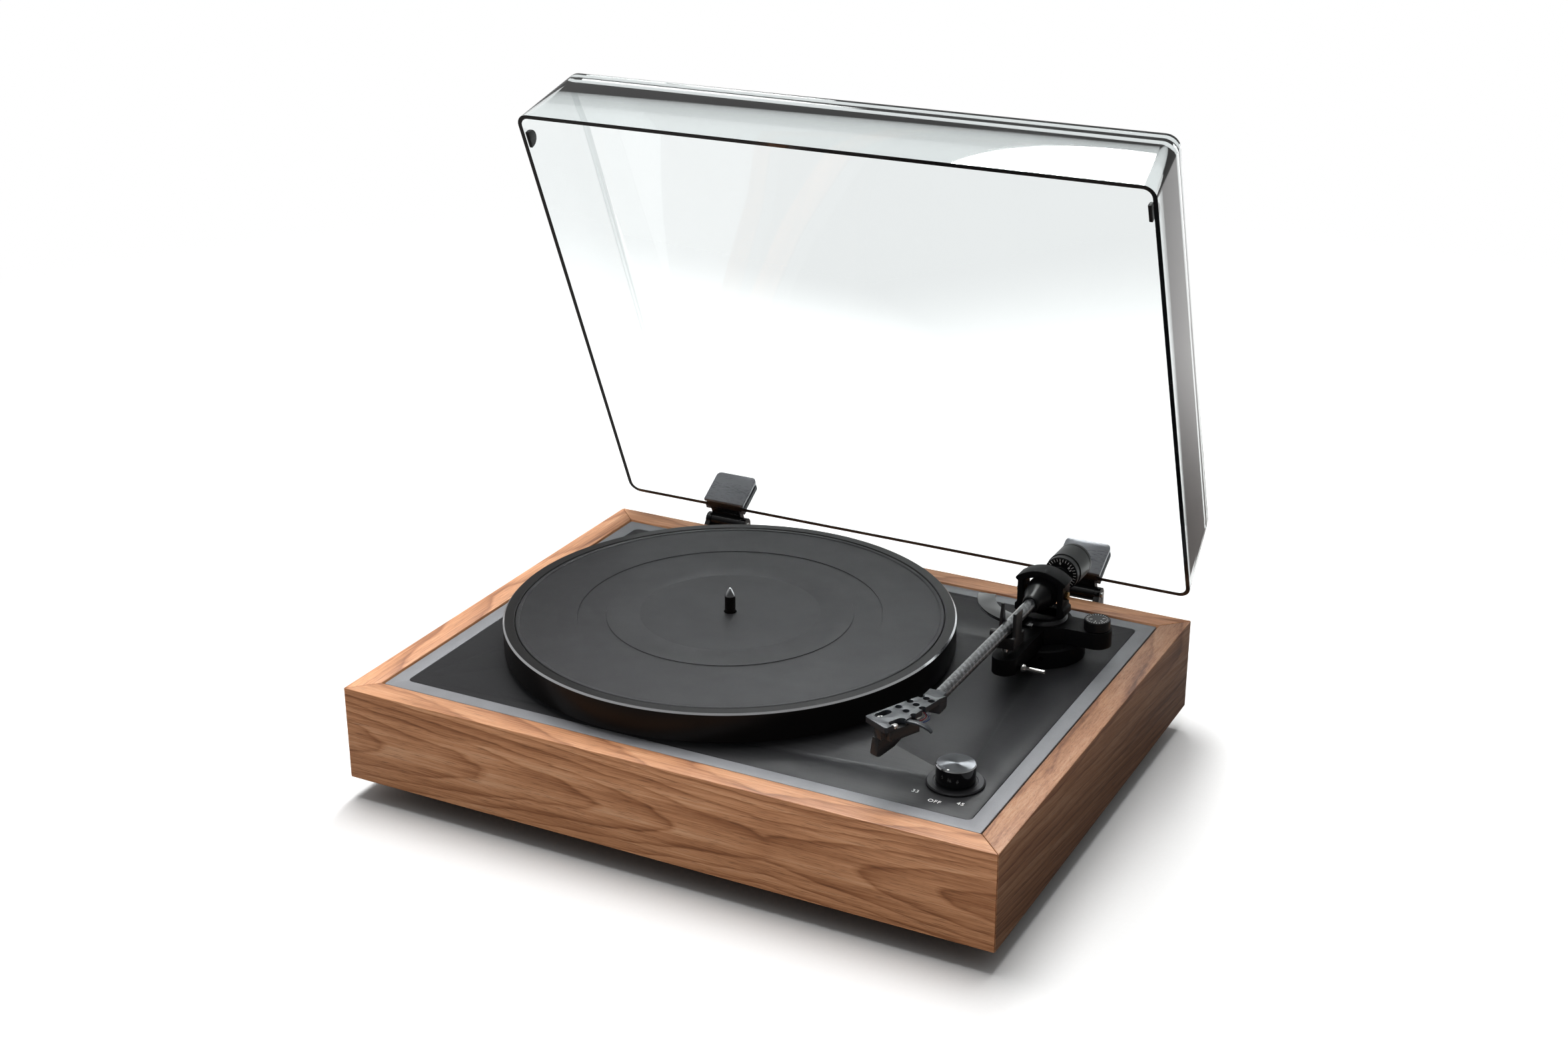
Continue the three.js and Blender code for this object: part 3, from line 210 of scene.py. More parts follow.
def walnut(name, turn, centre, arch, tone=1.0, seed=0.0, slope=0.0):
    """turn: 0 with the grain along X, 1 along Y. centre: where the arches meet, along the grain and up. tone
    multiplies the whole veneer: below 1 it is painted shade, for rail sides that face away from the light.
    """
    material, tree, shader, place = blank(name)
    parts = add(tree, "ShaderNodeSeparateXYZ", {0: place}).outputs
    along, across = (parts[1], parts[0]) if turn else (parts[0], parts[1])
    tilted = maths(tree, "MULTIPLY_ADD", along, slope, parts[2])
    grain = add(tree, "ShaderNodeCombineXYZ", {0: along, 1: maths(tree, "ADD", across, seed),
        2: tilted}).outputs[0]
    wander = noise(tree, stretched(tree, grain, (0.012, 0.03, 0.03)), 3.0)
    ripple = noise(tree, stretched(tree, grain, (0.03, 0.12, 0.12)), 3.0)
    height = maths(tree, "DIVIDE", maths(tree, "SUBTRACT", tilted, centre[1]), arch[1])
    away = maths(tree, "DIVIDE", maths(tree, "ABSOLUTE", maths(tree, "SUBTRACT", along, centre[0])), arch[0])
    side = maths(tree, "MULTIPLY", across, 0.05)
    rings = maths(tree, "SUBTRACT", maths(tree, "MULTIPLY", height, height), away)
    rings = maths(tree, "ADD", maths(tree, "ADD", rings, side), maths(tree, "MULTIPLY", wander, 1.3))
    rings = maths(tree, "MULTIPLY_ADD", ripple, 0.3, rings)
    ring = maths(tree, "FRACT", rings)
    late = add(tree, "ShaderNodeValToRGB", {0: ring})
    levels_at = {0: 0, 1: 0.1, 0.55: 0.25, 0.8: 0.6, 0.9: 1, 0.94: 0.5}
    fill_ramp(late, {position: (level, level, level, 1) for position, level in levels_at.items()})
    bands = noise(tree, stretched(tree, grain, (0.004, 0.09, 0.09)), 4.0, 0.6)
    streaks = noise(tree, stretched(tree, grain, (0.02, 0.9, 0.9)), 4.0, 0.65)
    pores = noise(tree, stretched(tree, grain, (0.09, 2.6, 2.6)), 2.0, 0.6)
    depth = maths(tree, "MULTIPLY_ADD", late.outputs[0], 0.34,
        maths(tree, "MULTIPLY", spread(tree, bands, 0.3, 0.72, 0, 1), 0.42))
    depth = maths(tree, "MULTIPLY_ADD", spread(tree, streaks, 0.3, 0.75, -0.12, 1), 0.32, depth)
    wood = add(tree, "ShaderNodeValToRGB", {0: depth})
    tones = {0: "#d7a984", 1: "#53301d", 0.35: "#bd8760", 0.65: "#94613f"}
    fill_ramp(wood, {position: linear(tone_at) for position, tone_at in tones.items()})
    flecks = spread(tree, pores, 0.56, 0.7, 0.0, 0.55)
    colour = mixed(tree, flecks, wood.outputs[0], linear("#3f2416"))
    # Painted shade: the veneer is multiplied by tone, darker on the front and right rails.
    colour = mixed(tree, 1.0, colour, [tone, tone, tone, 1.0], "MULTIPLY")
    feed(tree, shader, {"Base Color": colour, "Roughness": spread(tree, streaks, 0.3, 0.7, 0.42, 0.56)})
    bumped(tree, shader, maths(tree, "ADD", streaks, maths(tree, "MULTIPLY", flecks, -0.8)), 0.03)
    return material


# Painted shade: the right rail's veneer is darkened to this tone, for the side that faces away from the
# light.
RIGHT_PAINTED_SHADE = 0.62
WOOD = {
    # Painted shade: the front rail's veneer is darkened by its tone, for the front face that is in shade.
    "front_rail": walnut("walnut, front, painted shade", 0, (78.0, 44.0), (72.0, 17.0), 0.86),
    "right_rail": walnut("walnut, right, painted shade", 1, (260.0, 90.0), (110.0, 26.0), RIGHT_PAINTED_SHADE, 130.0, 0.12),
    "back_rail": walnut("walnut, back", 0, (-20.0, 60.0), (80.0, 18.0), 1.0, 300.0),
    "left_rail": walnut("walnut, left", 1, (-40.0, 30.0), (90.0, 20.0), 1.0, 470.0),
}
print("walnut on", sorted(WOOD))

# %% Brushed, spun, woven and clear materials


def brushed_deck():
    material, tree, shader, place = blank("brushed black deck")
    lines = noise(tree, stretched(tree, place, (0.035, 3.2, 3.2)), 4.0, 0.7)
    long_lines = noise(tree, stretched(tree, place, (0.006, 0.8, 0.8)), 3.0, 0.6)
    both = maths(tree, "MULTIPLY_ADD", long_lines, 0.4, maths(tree, "MULTIPLY", lines, 0.6))
    colour = mixed(tree, spread(tree, both, 0.35, 0.65, 0, 1), linear("#111112"), linear("#252527"))
    rough = spread(tree, both, 0.35, 0.65, 0.42, 0.56)
    feed(tree, shader, {"Base Color": colour, "Roughness": rough, "Metallic": 0.0,
        "Specular IOR Level": 0.17})
    bumped(tree, shader, both, 0.05)
    return material


def spun(name, colour, roughness, rings_mm):
    """Metal turned on a lathe: its highlight opens into two fans. The mesh's UV map runs round the axis."""
    material, tree, shader, place = blank(name)
    around = add(tree, "ShaderNodeUVMap", uv_map="spin").outputs[0]
    parts = add(tree, "ShaderNodeSeparateXYZ", {0: around}).outputs
    radius = add(tree, "ShaderNodeCombineXYZ", {0: maths(tree, "MULTIPLY", parts[1], 1 / rings_mm),
        1: maths(tree, "MULTIPLY", parts[0], 6)}).outputs[0]
    rings = noise(tree, radius, 2.0, 0.6)
    base = linear(colour)
    feed(tree, shader, {
        "Base Color": mixed(tree, rings, [c * 0.6 for c in base[:3]] + [1], base),
        "Tangent": add(tree, "ShaderNodeTangent", direction_type="UV_MAP", uv_map="spin").outputs[0],
        "Roughness": spread(tree, rings, 0.3, 0.7, roughness - 0.05, roughness + 0.05),
        "Metallic": 1.0, "Anisotropic": 0.92,
    })
    return material


def carbon():
    """A twill of flat tows under clear resin. UV runs round the tube and along it, in millimetres."""
    material, tree, shader, place = blank("woven carbon under resin")
    parts = add(tree, "ShaderNodeSeparateXYZ",
        {0: add(tree, "ShaderNodeUVMap", uv_map="spin").outputs[0]}).outputs
    tow_mm, tows_round = 1.3, 14.0
    column = maths(tree, "MULTIPLY", parts[0], tows_round)
    row = maths(tree, "DIVIDE", parts[1], tow_mm)
    step = maths(tree, "ADD", maths(tree, "FLOOR", column), maths(tree, "FLOOR", row))
    warp = maths(tree, "LESS_THAN", maths(tree, "FLOORED_MODULO", step, 4.0), 2.0)
    blotch = noise(tree, stretched(tree, place, (0.5, 0.35, 0.5)), 3.0, 0.6)
    bright = maths(tree, "MULTIPLY", spread(tree, blotch, 0.35, 0.65, 0.1, 1.0),
        maths(tree, "MULTIPLY_ADD", warp, 0.75, 0.25))
    feed(tree, shader, {
        "Base Color": mixed(tree, bright, linear("#060607"), linear("#5c5e61")),
        "Roughness": spread(tree, blotch, 0.3, 0.7, 0.3, 0.45),
        "Metallic": 0.35, "Coat Weight": 1.0, "Coat Roughness": 0.05,
    })
    bumped(tree, shader, maths(tree, "PINGPONG", column, 0.5), 0.004)
    return material


def acrylic(name, colour, smear):
    material, tree, shader, place = blank(name)
    haze = noise(tree, stretched(tree, place, (0.02, 0.02, 0.02)), 3.0)
    base = linear(colour)
    feed(tree, shader, {
        "Base Color": mixed(tree, haze, [c * 0.985 for c in base[:3]] + [1], base),
        "Roughness": spread(tree, haze, 0.3, 0.7, 0.0, smear),
        "Transmission Weight": 1.0, "IOR": 1.49,
    })
    return material


DECK = brushed_deck()
SPUN_TOP = spun("spun knob top", "#6c6e71", 0.34, 0.12)
CARBON = carbon()
CLEAR = acrylic("clear acrylic", "#f4f8f8", 0.03)
# Painted shade: the clear cover's rim is drawn as dark opaque acrylic, for the dark line the rim shows.
SHADED_RIM = substance("acrylic rim, painted shade", "#08090a", 0.12, 0.0, 2.0, 0.002, coat=0.5)
# Painted shade: the cover's rounded top bend is a darker copy of the clear acrylic.
SHADED_BEND = acrylic("acrylic bend, painted shade", "#d3dbdb", 0.06)
print("all materials", len(bpy.data.materials))

# %% [markdown]
# ## Tools that make pieces
# Each finished piece sits at the origin, unturned, with its place in its mesh.

# %% Mesh tools


def finished(name, mesh, materials, sharp=35.0):
    mesh.name = name
    made = bpy.data.objects.new(name, mesh)
    bpy.context.scene.collection.objects.link(made)
    marks = [face.material_index for face in mesh.polygons]
    mesh.materials.clear()
    for material in materials:
        mesh.materials.append(material)
    mesh.polygons.foreach_set("material_index", marks)
    for face in mesh.polygons:
        face.use_smooth = True
    mesh.set_sharp_from_angle(angle=math.radians(sharp))
    return made


def applied(source, name=None, materials=None):
    """The object's mesh with its modifiers worked in, as a new finished object."""
    bpy.context.view_layer.update()
    mesh = bpy.data.meshes.new_from_object(source.evaluated_get(bpy.context.evaluated_depsgraph_get()))
    mesh.transform(source.matrix_world)
    kept = materials or list(source.data.materials)
    label = name or source.name
    bpy.data.objects.remove(source)
    return finished(label, mesh, kept)


def rounded(source, width_mm, segments=2, angle=35.0, name=None):
    bevel = source.modifiers.new("edges", "BEVEL")
    bevel.width = width_mm * MM
    bevel.segments = segments
    bevel.limit_method = "ANGLE"
    bevel.angle_limit = math.radians(angle)
    bevel.use_clamp_overlap = True
    bevel.harden_normals = False
    return applied(source, name)


def solid(name, vertices_mm, faces, materials):
    mesh = bpy.data.meshes.new(name)
    mesh.from_pydata([Vector(v) * MM for v in vertices_mm], [], faces)
    mesh.validate()
    work = bmesh.new()
    work.from_mesh(mesh)
    bmesh.ops.recalc_face_normals(work, faces=work.faces)
    work.to_mesh(mesh)
    work.free()
    return finished(name, mesh, materials)


def prism(name, outline, low, high, materials, plane="XY"):
    """An outline of (a, b) points in a plane, raised between two levels."""
    orders = {"XY": lambda a, b, c: (a, b, c), "XZ": lambda a, b, c: (a, c, b), "YZ": lambda a, b,
        c: (c, a, b)}
    order = orders[plane]
    count = len(outline)
    points = [order(a, b, low) for a, b in outline] + [order(a, b, high) for a, b in outline]
    faces = [tuple(range(count))[::-1], tuple(range(count, 2 * count))]
    faces += [(i, (i + 1) % count, count + (i + 1) % count, count + i) for i in range(count)]
    return solid(name, points, faces, materials)


def lathe(name, profile, centre, materials, axis="Z", sides=128, zones=None):
    """A profile of (radius, height) turned about an axis through centre. zones gives each edge's material.
    The UV map holds the turn round the axis and the distance along the profile."""
    spots, faces, marks, uvs = [], [], [], []
    runs = [0.0]
    for (r0, h0), (r1, h1) in zip(profile, profile[1:]):
        runs.append(runs[-1] + math.hypot(r1 - r0, h1 - h0))
    for r, h in profile:
        for i in range(sides):
            a = 2 * math.pi * i / sides
            ring = (r * math.cos(a), r * math.sin(a), h)
            turned = ring if axis == "Z" else (ring[0], ring[2], -ring[1])
            spots.append([centre[k] + turned[k] for k in range(3)])
    for row in range(len(profile) - 1):
        for i in range(sides):
            j = (i + 1) % sides
            faces.append((row * sides + i, row * sides + j, (row + 1) * sides + j, (row + 1) * sides + i))
            marks.append(zones[row] if zones else 0)
            u0, u1, v0, v1 = i / sides, (i + 1) / sides, runs[row], runs[row + 1]
            uvs.append([(u0, v0), (u1, v0), (u1, v1), (u0, v1)])
    mesh = bpy.data.meshes.new(name)
    mesh.from_pydata([Vector(v) * MM for v in spots], [], faces)
    layer = mesh.uv_layers.new(name="spin")
    for face, corners, mark in zip(mesh.polygons, uvs, marks):
        face.material_index = mark
        for loop, uv in zip(face.loop_indices, corners):
            layer.data[loop].uv = uv
    work = bmesh.new()
    work.from_mesh(mesh)
    bmesh.ops.remove_doubles(work, verts=work.verts, dist=1e-7)
    bmesh.ops.dissolve_degenerate(work, dist=1e-8, edges=work.edges)
    bmesh.ops.recalc_face_normals(work, faces=work.faces)
    work.to_mesh(mesh)
    work.free()
    return finished(name, mesh, materials)


def rod(name, radius, low, high, centre, materials, axis="Z", sides=32):
    """A plain round bar between two heights on its axis."""
    return lathe(name, [(0, low), (radius, low), (radius, high), (0, high)], centre, materials, axis, sides)


def along_x(piece, centre, degrees=90):
    """Lays a piece drawn round Z along X, and moves it to a centre."""
    turn = Matrix.Rotation(math.radians(degrees), 4, "Y")
    piece.data.transform(Matrix.Translation(Vector(centre) * MM) @ turn)
    return piece


def copied(node, materials, bevel_mm=0.4, segments=2, name=None):
    """A CAD solid with its flat faces made whole and its edges rounded."""
    mesh = NODES[node].data.copy()
    work = bmesh.new()
    work.from_mesh(mesh)
    bmesh.ops.remove_doubles(work, verts=work.verts, dist=2e-6)
    bmesh.ops.dissolve_limit(work, angle_limit=math.radians(1.0), verts=work.verts, edges=work.edges)
    work.to_mesh(mesh)
    work.free()
    made = finished(name or f"{node} look", mesh, materials)
    made = rounded(made, bevel_mm, segments)
    return made


def carve(target, cutters):
    """Cuts each cutter out of the target."""
    for cutter in cutters:
        change = target.modifiers.new("cut", "BOOLEAN")
        change.operation = "DIFFERENCE"
        change.solver = "EXACT"
        change.object = cutter
    made = applied(target)
    for cutter in cutters:
        bpy.data.objects.remove(cutter)
    return made


def joined(name, pieces, materials):
    """Several meshes in one object, with their material numbers kept."""
    work = bmesh.new()
    for piece in pieces:
        slots = [materials.index(m) for m in piece.data.materials]
        start = len(work.faces)
        work.from_mesh(piece.data)
        work.faces.ensure_lookup_table()
        for face in work.faces[start:]:
            face.material_index = slots[min(face.material_index, len(slots) - 1)]
    mesh = bpy.data.meshes.new(name)
    work.to_mesh(mesh)
    work.free()
    for piece in pieces:
        bpy.data.objects.remove(piece)
    return finished(name, mesh, materials)


def swept(name, points, radius_mm, materials):
    """A tube through points."""
    curve = bpy.data.curves.new(name, "CURVE")
    curve.dimensions = "3D"
    curve.bevel_depth = radius_mm * MM
    curve.bevel_resolution = 4
    curve.use_fill_caps = True
    line = curve.splines.new("NURBS")
    line.points.add(len(points) - 1)
    for spot, point in zip(line.points, points):
        spot.co = (*(Vector(point) * MM), 1.0)
    line.use_endpoint_u = True
    line.order_u = 3
    line.resolution_u = 8
    source = bpy.data.objects.new(name, curve)
    bpy.context.scene.collection.objects.link(source)
    return applied(source, name, materials)


def lettering(name, text, size_mm, centre, turn, materials, depth_mm=0.06):
    """Flat text lying in a plane; turn is a matrix that stands it up."""
    font = bpy.data.curves.new(name, "FONT")
    font.body = text
    font.size = size_mm * MM
    font.extrude = depth_mm * MM / 2
    font.align_x = "CENTER"
    font.align_y = "CENTER"
    font.space_character = 1.1
    source = bpy.data.objects.new(name, font)
    bpy.context.scene.collection.objects.link(source)
    source.matrix_world = Matrix.Translation(Vector(centre) * MM) @ turn.to_4x4()
    return applied(source, name, materials)


def ball(name, centre, radius, materials):
    steps = 24
    profile = [(radius * math.sin(math.pi * i / steps), -radius * math.cos(math.pi * i / steps))
        for i in range(steps + 1)]
    return lathe(name, profile, centre, materials, sides=48)


def wear(piece, body, *nodes):
    """Piece names hold no spaces. A piece rides a body and stands for its CAD nodes."""
    piece.name = piece.name.replace(" ", "_")
    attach(piece, body)
    if nodes:
        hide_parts(*nodes)
    return piece


def arc(cx, cy, radius, start, end, steps):
    turn = [math.radians(start + (end - start) * i / steps) for i in range(steps + 1)]
    return [(cx + radius * math.cos(t), cy + radius * math.sin(t)) for t in turn]


print("tools ready")

# %% [markdown]
# ## Plinth and deck

# %% Rails, frame and deck plate
for rail, look in WOOD.items():
    wear(copied(rail, [look], 0.5, 3), "base", rail)
wear(copied("top_frame", [BLASTED], 0.35, 2), "base", "top_frame")
wear(copied("deck_plate", [DECK], 0.3, 2), "base", "deck_plate")
plate_top = hi("deck_plate").z
print("deck plate top", round(plate_top, 2))

# %% Speed marks printed on the deck
FLAT = Matrix.Identity(3)
knob = mid("speed_knob")
MARKS = {"33": (-17.0, -19.5), "OFF": (-2.4, -25.6), "45": (12.4, -21.6)}
for text, (dx, dy) in MARKS.items():
    print_name = f"mark {text}"
    wear(lettering(print_name, text, 4.4, (knob.x + dx, knob.y + dy, plate_top + 0.05), FLAT, [INK]), "base")
print("marks", list(MARKS))

# %% [markdown]
# ## Platter, mat and spindle

# %% Turned platter
platter, seat = mid("platter"), mid("platter_mat")
rim = half_width("platter")
low, high = levels("platter")
mat_rim = half_width("platter_mat")
cut_edge = 1.1
shelf = lo("platter_mat").z - 0.3
profile = [(rim - 7, low + 0.4), (rim - 7, low), (rim - 1.4, low), (rim - 0.3, low + 0.5), (rim, low + 1.4)]
profile += [(rim, high - cut_edge), (rim - cut_edge, high), (mat_rim + 1.0, high),
    (mat_rim + 0.45, high - 0.5), (mat_rim + 0.4, shelf), (4, shelf)]
profile += [(4, shelf - 5.6), (rim - 7, shelf - 5.6), (rim - 7, low + 0.4)]
zones = [0, 0, 0, 0, 0, 1] + [0] * (len(profile) - 7)
wear(lathe("turned platter", profile, (platter.x, platter.y, 0), [PLATTER, BRIGHT], sides=256, zones=zones),
    "platter_body", "platter")

# %% Rubber mat with a raised lip and a sunken band
under, lip = levels("platter_mat")
face = lip - 0.6
sunk = face - 0.45
profile = [(4.2, under), (mat_rim, under), (mat_rim, lip - 0.4), (mat_rim - 0.4, lip), (mat_rim - 2.2, lip),
    (mat_rim - 2.7, lip - 0.3), (mat_rim - 3.0, face)]
profile += [(101.2, face), (101.0, sunk), (82.2, sunk), (82.0, face), (60.3, face), (60.1, face - 0.06),
    (59.6, face - 0.06), (4.4, face - 0.05), (4.2, face - 0.3), (4.2, under)]
wear(lathe("record mat", profile, (seat.x, seat.y, 0), [RUBBER], sides=256), "platter_body", "platter_mat")

# %% Spindle with a bright cone
tip = hi("spindle").z
stem = half_width("spindle")
foot_z = lo("spindle").z
profile = [(0, foot_z), (stem - 0.3, foot_z), (stem, foot_z + 0.3), (stem, tip - 5.9), (stem, tip - 5.4),
    (0.9, tip - 0.5), (0.5, tip - 0.12), (0, tip)]
wear(lathe("spindle look", profile, (platter.x, platter.y, 0), [DARK_STEEL, BRIGHT], sides=64,
    zones=[0, 0, 0, 1, 1, 1, 1]), "platter_body", "spindle")
print("platter, mat and spindle turned")

# %% [markdown]
# ## Speed knob

# %% Knob and flange
radius = half_width("speed_knob")
top, shaft_end = hi("speed_knob").z, lo("speed_knob").z
skirt = hi("knob_flange").z + 0.3
profile = [(0, shaft_end), (3, shaft_end), (3, skirt), (radius - 0.6, skirt), (radius, skirt + 0.5),
    (radius, top - 0.7), (radius - 0.55, top), (0.02, top)]
wear(lathe("speed knob look", profile, (knob.x, knob.y, 0), [GLOSS, SPUN_TOP, BRIGHT], sides=128,
    zones=[0, 0, 0, 0, 0, 2, 1]), "knob_body", "speed_knob")
flange = mid("knob_flange")
edge = half_width("knob_flange")
fl, fh = levels("knob_flange")
profile = [(3.5, fl), (edge - 0.3, fl), (edge, fl + 0.3), (edge, fh - 0.7), (edge - 0.7, fh),
    (radius + 1.6, fh - 0.15), (radius + 1.2, fh - 0.5), (3.5, fh - 0.5), (3.5, fl)]
wear(lathe("knob flange look", profile, (flange.x, flange.y, 0), [FLANGE], sides=128), "base", "knob_flange")
dot = rod("knob dot", 0.75, top - 0.05, top + 0.05, (knob.x - 0.8, knob.y - radius + 2.0, 0), [INK], sides=24)
wear(dot, "knob_body")
pip = rod("flange dot", 0.6, fh - 0.1, fh + 0.04, (knob.x - 1.2, knob.y - edge + 2.4, 0), [PLASTIC], sides=24)
wear(pip, "base")
print("knob", round(radius, 1), "flange", round(edge, 1))

# %% [markdown]
# ## Arm base, rest and lift

# %% Pillar, casting and collar
arm_x = mid("arm_tube").x
pivot = mid("pivot_screw_left")
pivot_y, arm_z = pivot.y, pivot.z
r = half_width("arm_pillar")
pl, ph = levels("arm_pillar")
profile = [(6, pl), (r - 0.3, pl), (r, pl + 0.3), (r, ph - 0.9), (r - 0.9, ph), (6, ph), (6, pl)]
pillar = lathe("arm pillar look", profile, (mid("arm_pillar").x, pivot_y, 0), [CAST], sides=128)
screw_at = (mid("arm_pillar").x + r * 0.35, pivot_y - r * 0.94, (pl + ph) / 2 + 1)
hole = rod("hole", 1.6, -6, 6, screw_at, [PLASTIC], "Y", 24)
wear(carve(pillar, [hole]), "base", "arm_pillar")

dial_x = mid("antiskate_dial").x
rest_y = mid("rest_post").y
lift_y = pivot_y - 41
cl, ch = levels("arm_base")
half, dial_half = 8.25, 9.8
outline = [(arm_x - half, pivot_y - 18)] + arc(arm_x, rest_y, half, 180, 360, 24)
outline += [(arm_x + half, pivot_y - 18.2), (arm_x + 19, pivot_y - 10)]
outline += arc(dial_x, pivot_y, dial_half, -90, 90, 24) + [(arm_x + 19, pivot_y + 10)]
outline += arc(arm_x, pivot_y, 19.9, 31, 246, 40)
casting = prism("arm base look", outline, cl, ch, [CAST])
bore = rod("bore", 2.3, cl - 1, ch + 1, (arm_x, lift_y, 0), [CAST], sides=24)
wear(rounded(carve(casting, [bore]), 0.7, 3, 40), "base", "arm_base")

r = half_width("arm_collar")
kl, kh = levels("arm_collar")
profile = [(6, kl), (r - 0.2, kl), (r, kl + 0.2), (r, kl + 1.0), (r - 1.5, kh - 0.2), (r - 1.9, kh),
    (6, kh), (6, kl)]
wear(lathe("arm collar look", profile, (arm_x, pivot_y, 0), [FLANGE], sides=96), "base", "arm_collar")
print("arm base from", round(rest_y, 1), "to", round(pivot_y, 1))

# %% Marks round a dial: one node group makes every ring of marks


def marks_group():
    group = bpy.data.node_groups.new("ring of marks", "GeometryNodeTree")
    kinds = {
        "Geometry": "Geometry", "Count": "Int", "Radius": "Float", "Start": "Float",
        "Step": "Float", "Mark": "Vector", "Material": "Material",
    }
    for label, kind in kinds.items():
        group.interface.new_socket(label, in_out="INPUT", socket_type=f"NodeSocket{kind}")
    group.interface.new_socket("Geometry", in_out="OUTPUT", socket_type="NodeSocketGeometry")
    given = add(group, "NodeGroupInput").outputs
    line = add(group, "GeometryNodeMeshLine", {"Count": given["Count"]}).outputs[0]
    index = add(group, "GeometryNodeInputIndex").outputs[0]
    angle = add(group, "ShaderNodeMath", {0: index, 1: given["Step"], 2: given["Start"]},
        operation="MULTIPLY_ADD").outputs[0]
    x = maths(group, "MULTIPLY", maths(group, "COSINE", angle), given["Radius"])
    y = maths(group, "MULTIPLY", maths(group, "SINE", angle), given["Radius"])
    spot = add(group, "ShaderNodeCombineXYZ", {0: x, 1: y}).outputs[0]
    placed = add(group, "GeometryNodeSetPosition", {"Geometry": line, "Position": spot}).outputs[0]
    mark = add(group, "GeometryNodeMeshCube", {"Size": given["Mark"]}).outputs[0]
    turn = add(group, "ShaderNodeCombineXYZ", {2: angle}).outputs[0]
    copies = add(group, "GeometryNodeInstanceOnPoints",
        {"Points": placed, "Instance": mark, "Rotation": turn}).outputs[0]
    real = add(group, "GeometryNodeRealizeInstances", {0: copies}).outputs[0]
    inked = add(group, "GeometryNodeSetMaterial", {"Geometry": real,
        "Material": given["Material"]}).outputs[0]
    add(group, "NodeGroupOutput", {0: inked})
    return group


MARKS_GROUP = marks_group()
SOCKETS = {item.name: item.identifier for item in MARKS_GROUP.interface.items_tree if item.in_out == "INPUT"}


def ring_of_marks(name, count, radius, start, step, mark, centre, turn):
    mesh = bpy.data.meshes.new(name)
    source = bpy.data.objects.new(name, mesh)
    bpy.context.scene.collection.objects.link(source)
    change = source.modifiers.new("marks", "NODES")
    change.node_group = MARKS_GROUP
    values = {"Count": count, "Radius": radius * MM, "Start": math.radians(start),
        "Step": math.radians(step), "Material": INK}
    for label, value in values.items():
        change[SOCKETS[label]] = value
    for k in range(3):
        change[SOCKETS["Mark"]][k] = mark[k] * MM
    source.matrix_world = Matrix.Translation(Vector(centre) * MM) @ turn.to_4x4()
    return applied(source, name, [INK])


print("marks group inputs", sorted(SOCKETS))

# %% Anti-skate dial
r = half_width("antiskate_dial")
top = hi("antiskate_dial").z
foot_z, skirt = lo("antiskate_dial").z, top - 6.6
profile = [(0, foot_z), (2, foot_z), (2, skirt), (r - 0.3, skirt), (r, skirt + 0.3), (r, top - 0.5),
    (r - 0.5, top), (r - 1.0, top), (r - 1.2, top - 0.15), (0.02, top - 0.15)]
wear(lathe("anti-skate dial look", profile, (dial_x, pivot_y, 0), [SATIN], sides=96), "antiskate_body",
    "antiskate_dial")
face = top - 0.12
wear(ring_of_marks("anti-skate marks", 24, r - 2.0, 0, 15, (1.3, 0.22, 0.06), (dial_x, pivot_y, face),
    FLAT), "antiskate_body")
for k, number in enumerate("0123"):
    turn = math.radians(-150 + 60 * k)
    spot = (dial_x + (r - 4.3) * math.cos(turn), pivot_y + (r - 4.3) * math.sin(turn), face)
    wear(lettering(f"anti-skate {number}", number, 2.5, spot, Matrix.Rotation(turn + math.pi / 2, 3, "Z"),
        [INK]), "antiskate_body")
print("anti-skate dial", round(r, 1))

# %% Rest post, clip and prong
r = half_width("rest_post")
post_l, post_h = levels("rest_post")
profile = [(0, post_l), (r, post_l), (r, post_h - 0.3), (r - 0.3, post_h), (0, post_h)]
wear(lathe("rest post look", profile, (mid("rest_post").x, rest_y, 0), [CHROME], sides=48), "base",
    "rest_post")
wear(copied("rest_clip", [PLASTIC], 0.5, 3), "base", "rest_clip")
wear(copied("rest_prong", [PLASTIC], 0.3, 2), "base", "rest_prong")

# %% Lift bar and its rod
wear(copied("lift_bar", [GLOSS], 0.25, 2), "lift_body", "lift_bar")
sleeve_top = ch + 2.2
collar = lathe("lift rod collar", [(2.4, ch + 0.3), (3.2, ch + 0.3), (3.2, sleeve_top - 0.4),
    (2.8, sleeve_top), (2.4, sleeve_top), (2.4, ch + 0.3)], (arm_x, lift_y, 0), [CHROME], sides=48)
wear(collar, "base")

# %% Cue lever
centre = (lo("cue_lever").x + 2.6, mid("cue_lever").y, lo("cue_lever").z + 2.6)
ball_piece = ball("cue ball", centre, 2.6, [CHROME])
handle = [(0, 0), (1.1, 0), (1.25, 1.5), (1.5, 5), (1.5, 14.6), (1.2, 15), (0, 15)]
lever = lathe("cue arm", [(r, -h) for r, h in handle], (0, 0, 0), [CHROME], sides=32)
along_x(lever, centre, -90)
wear(joined("cue lever look", [ball_piece, lever], [CHROME]), "cue_body", "cue_lever")
print("lift and cue made")

# %% [markdown]
# ## Tone arm

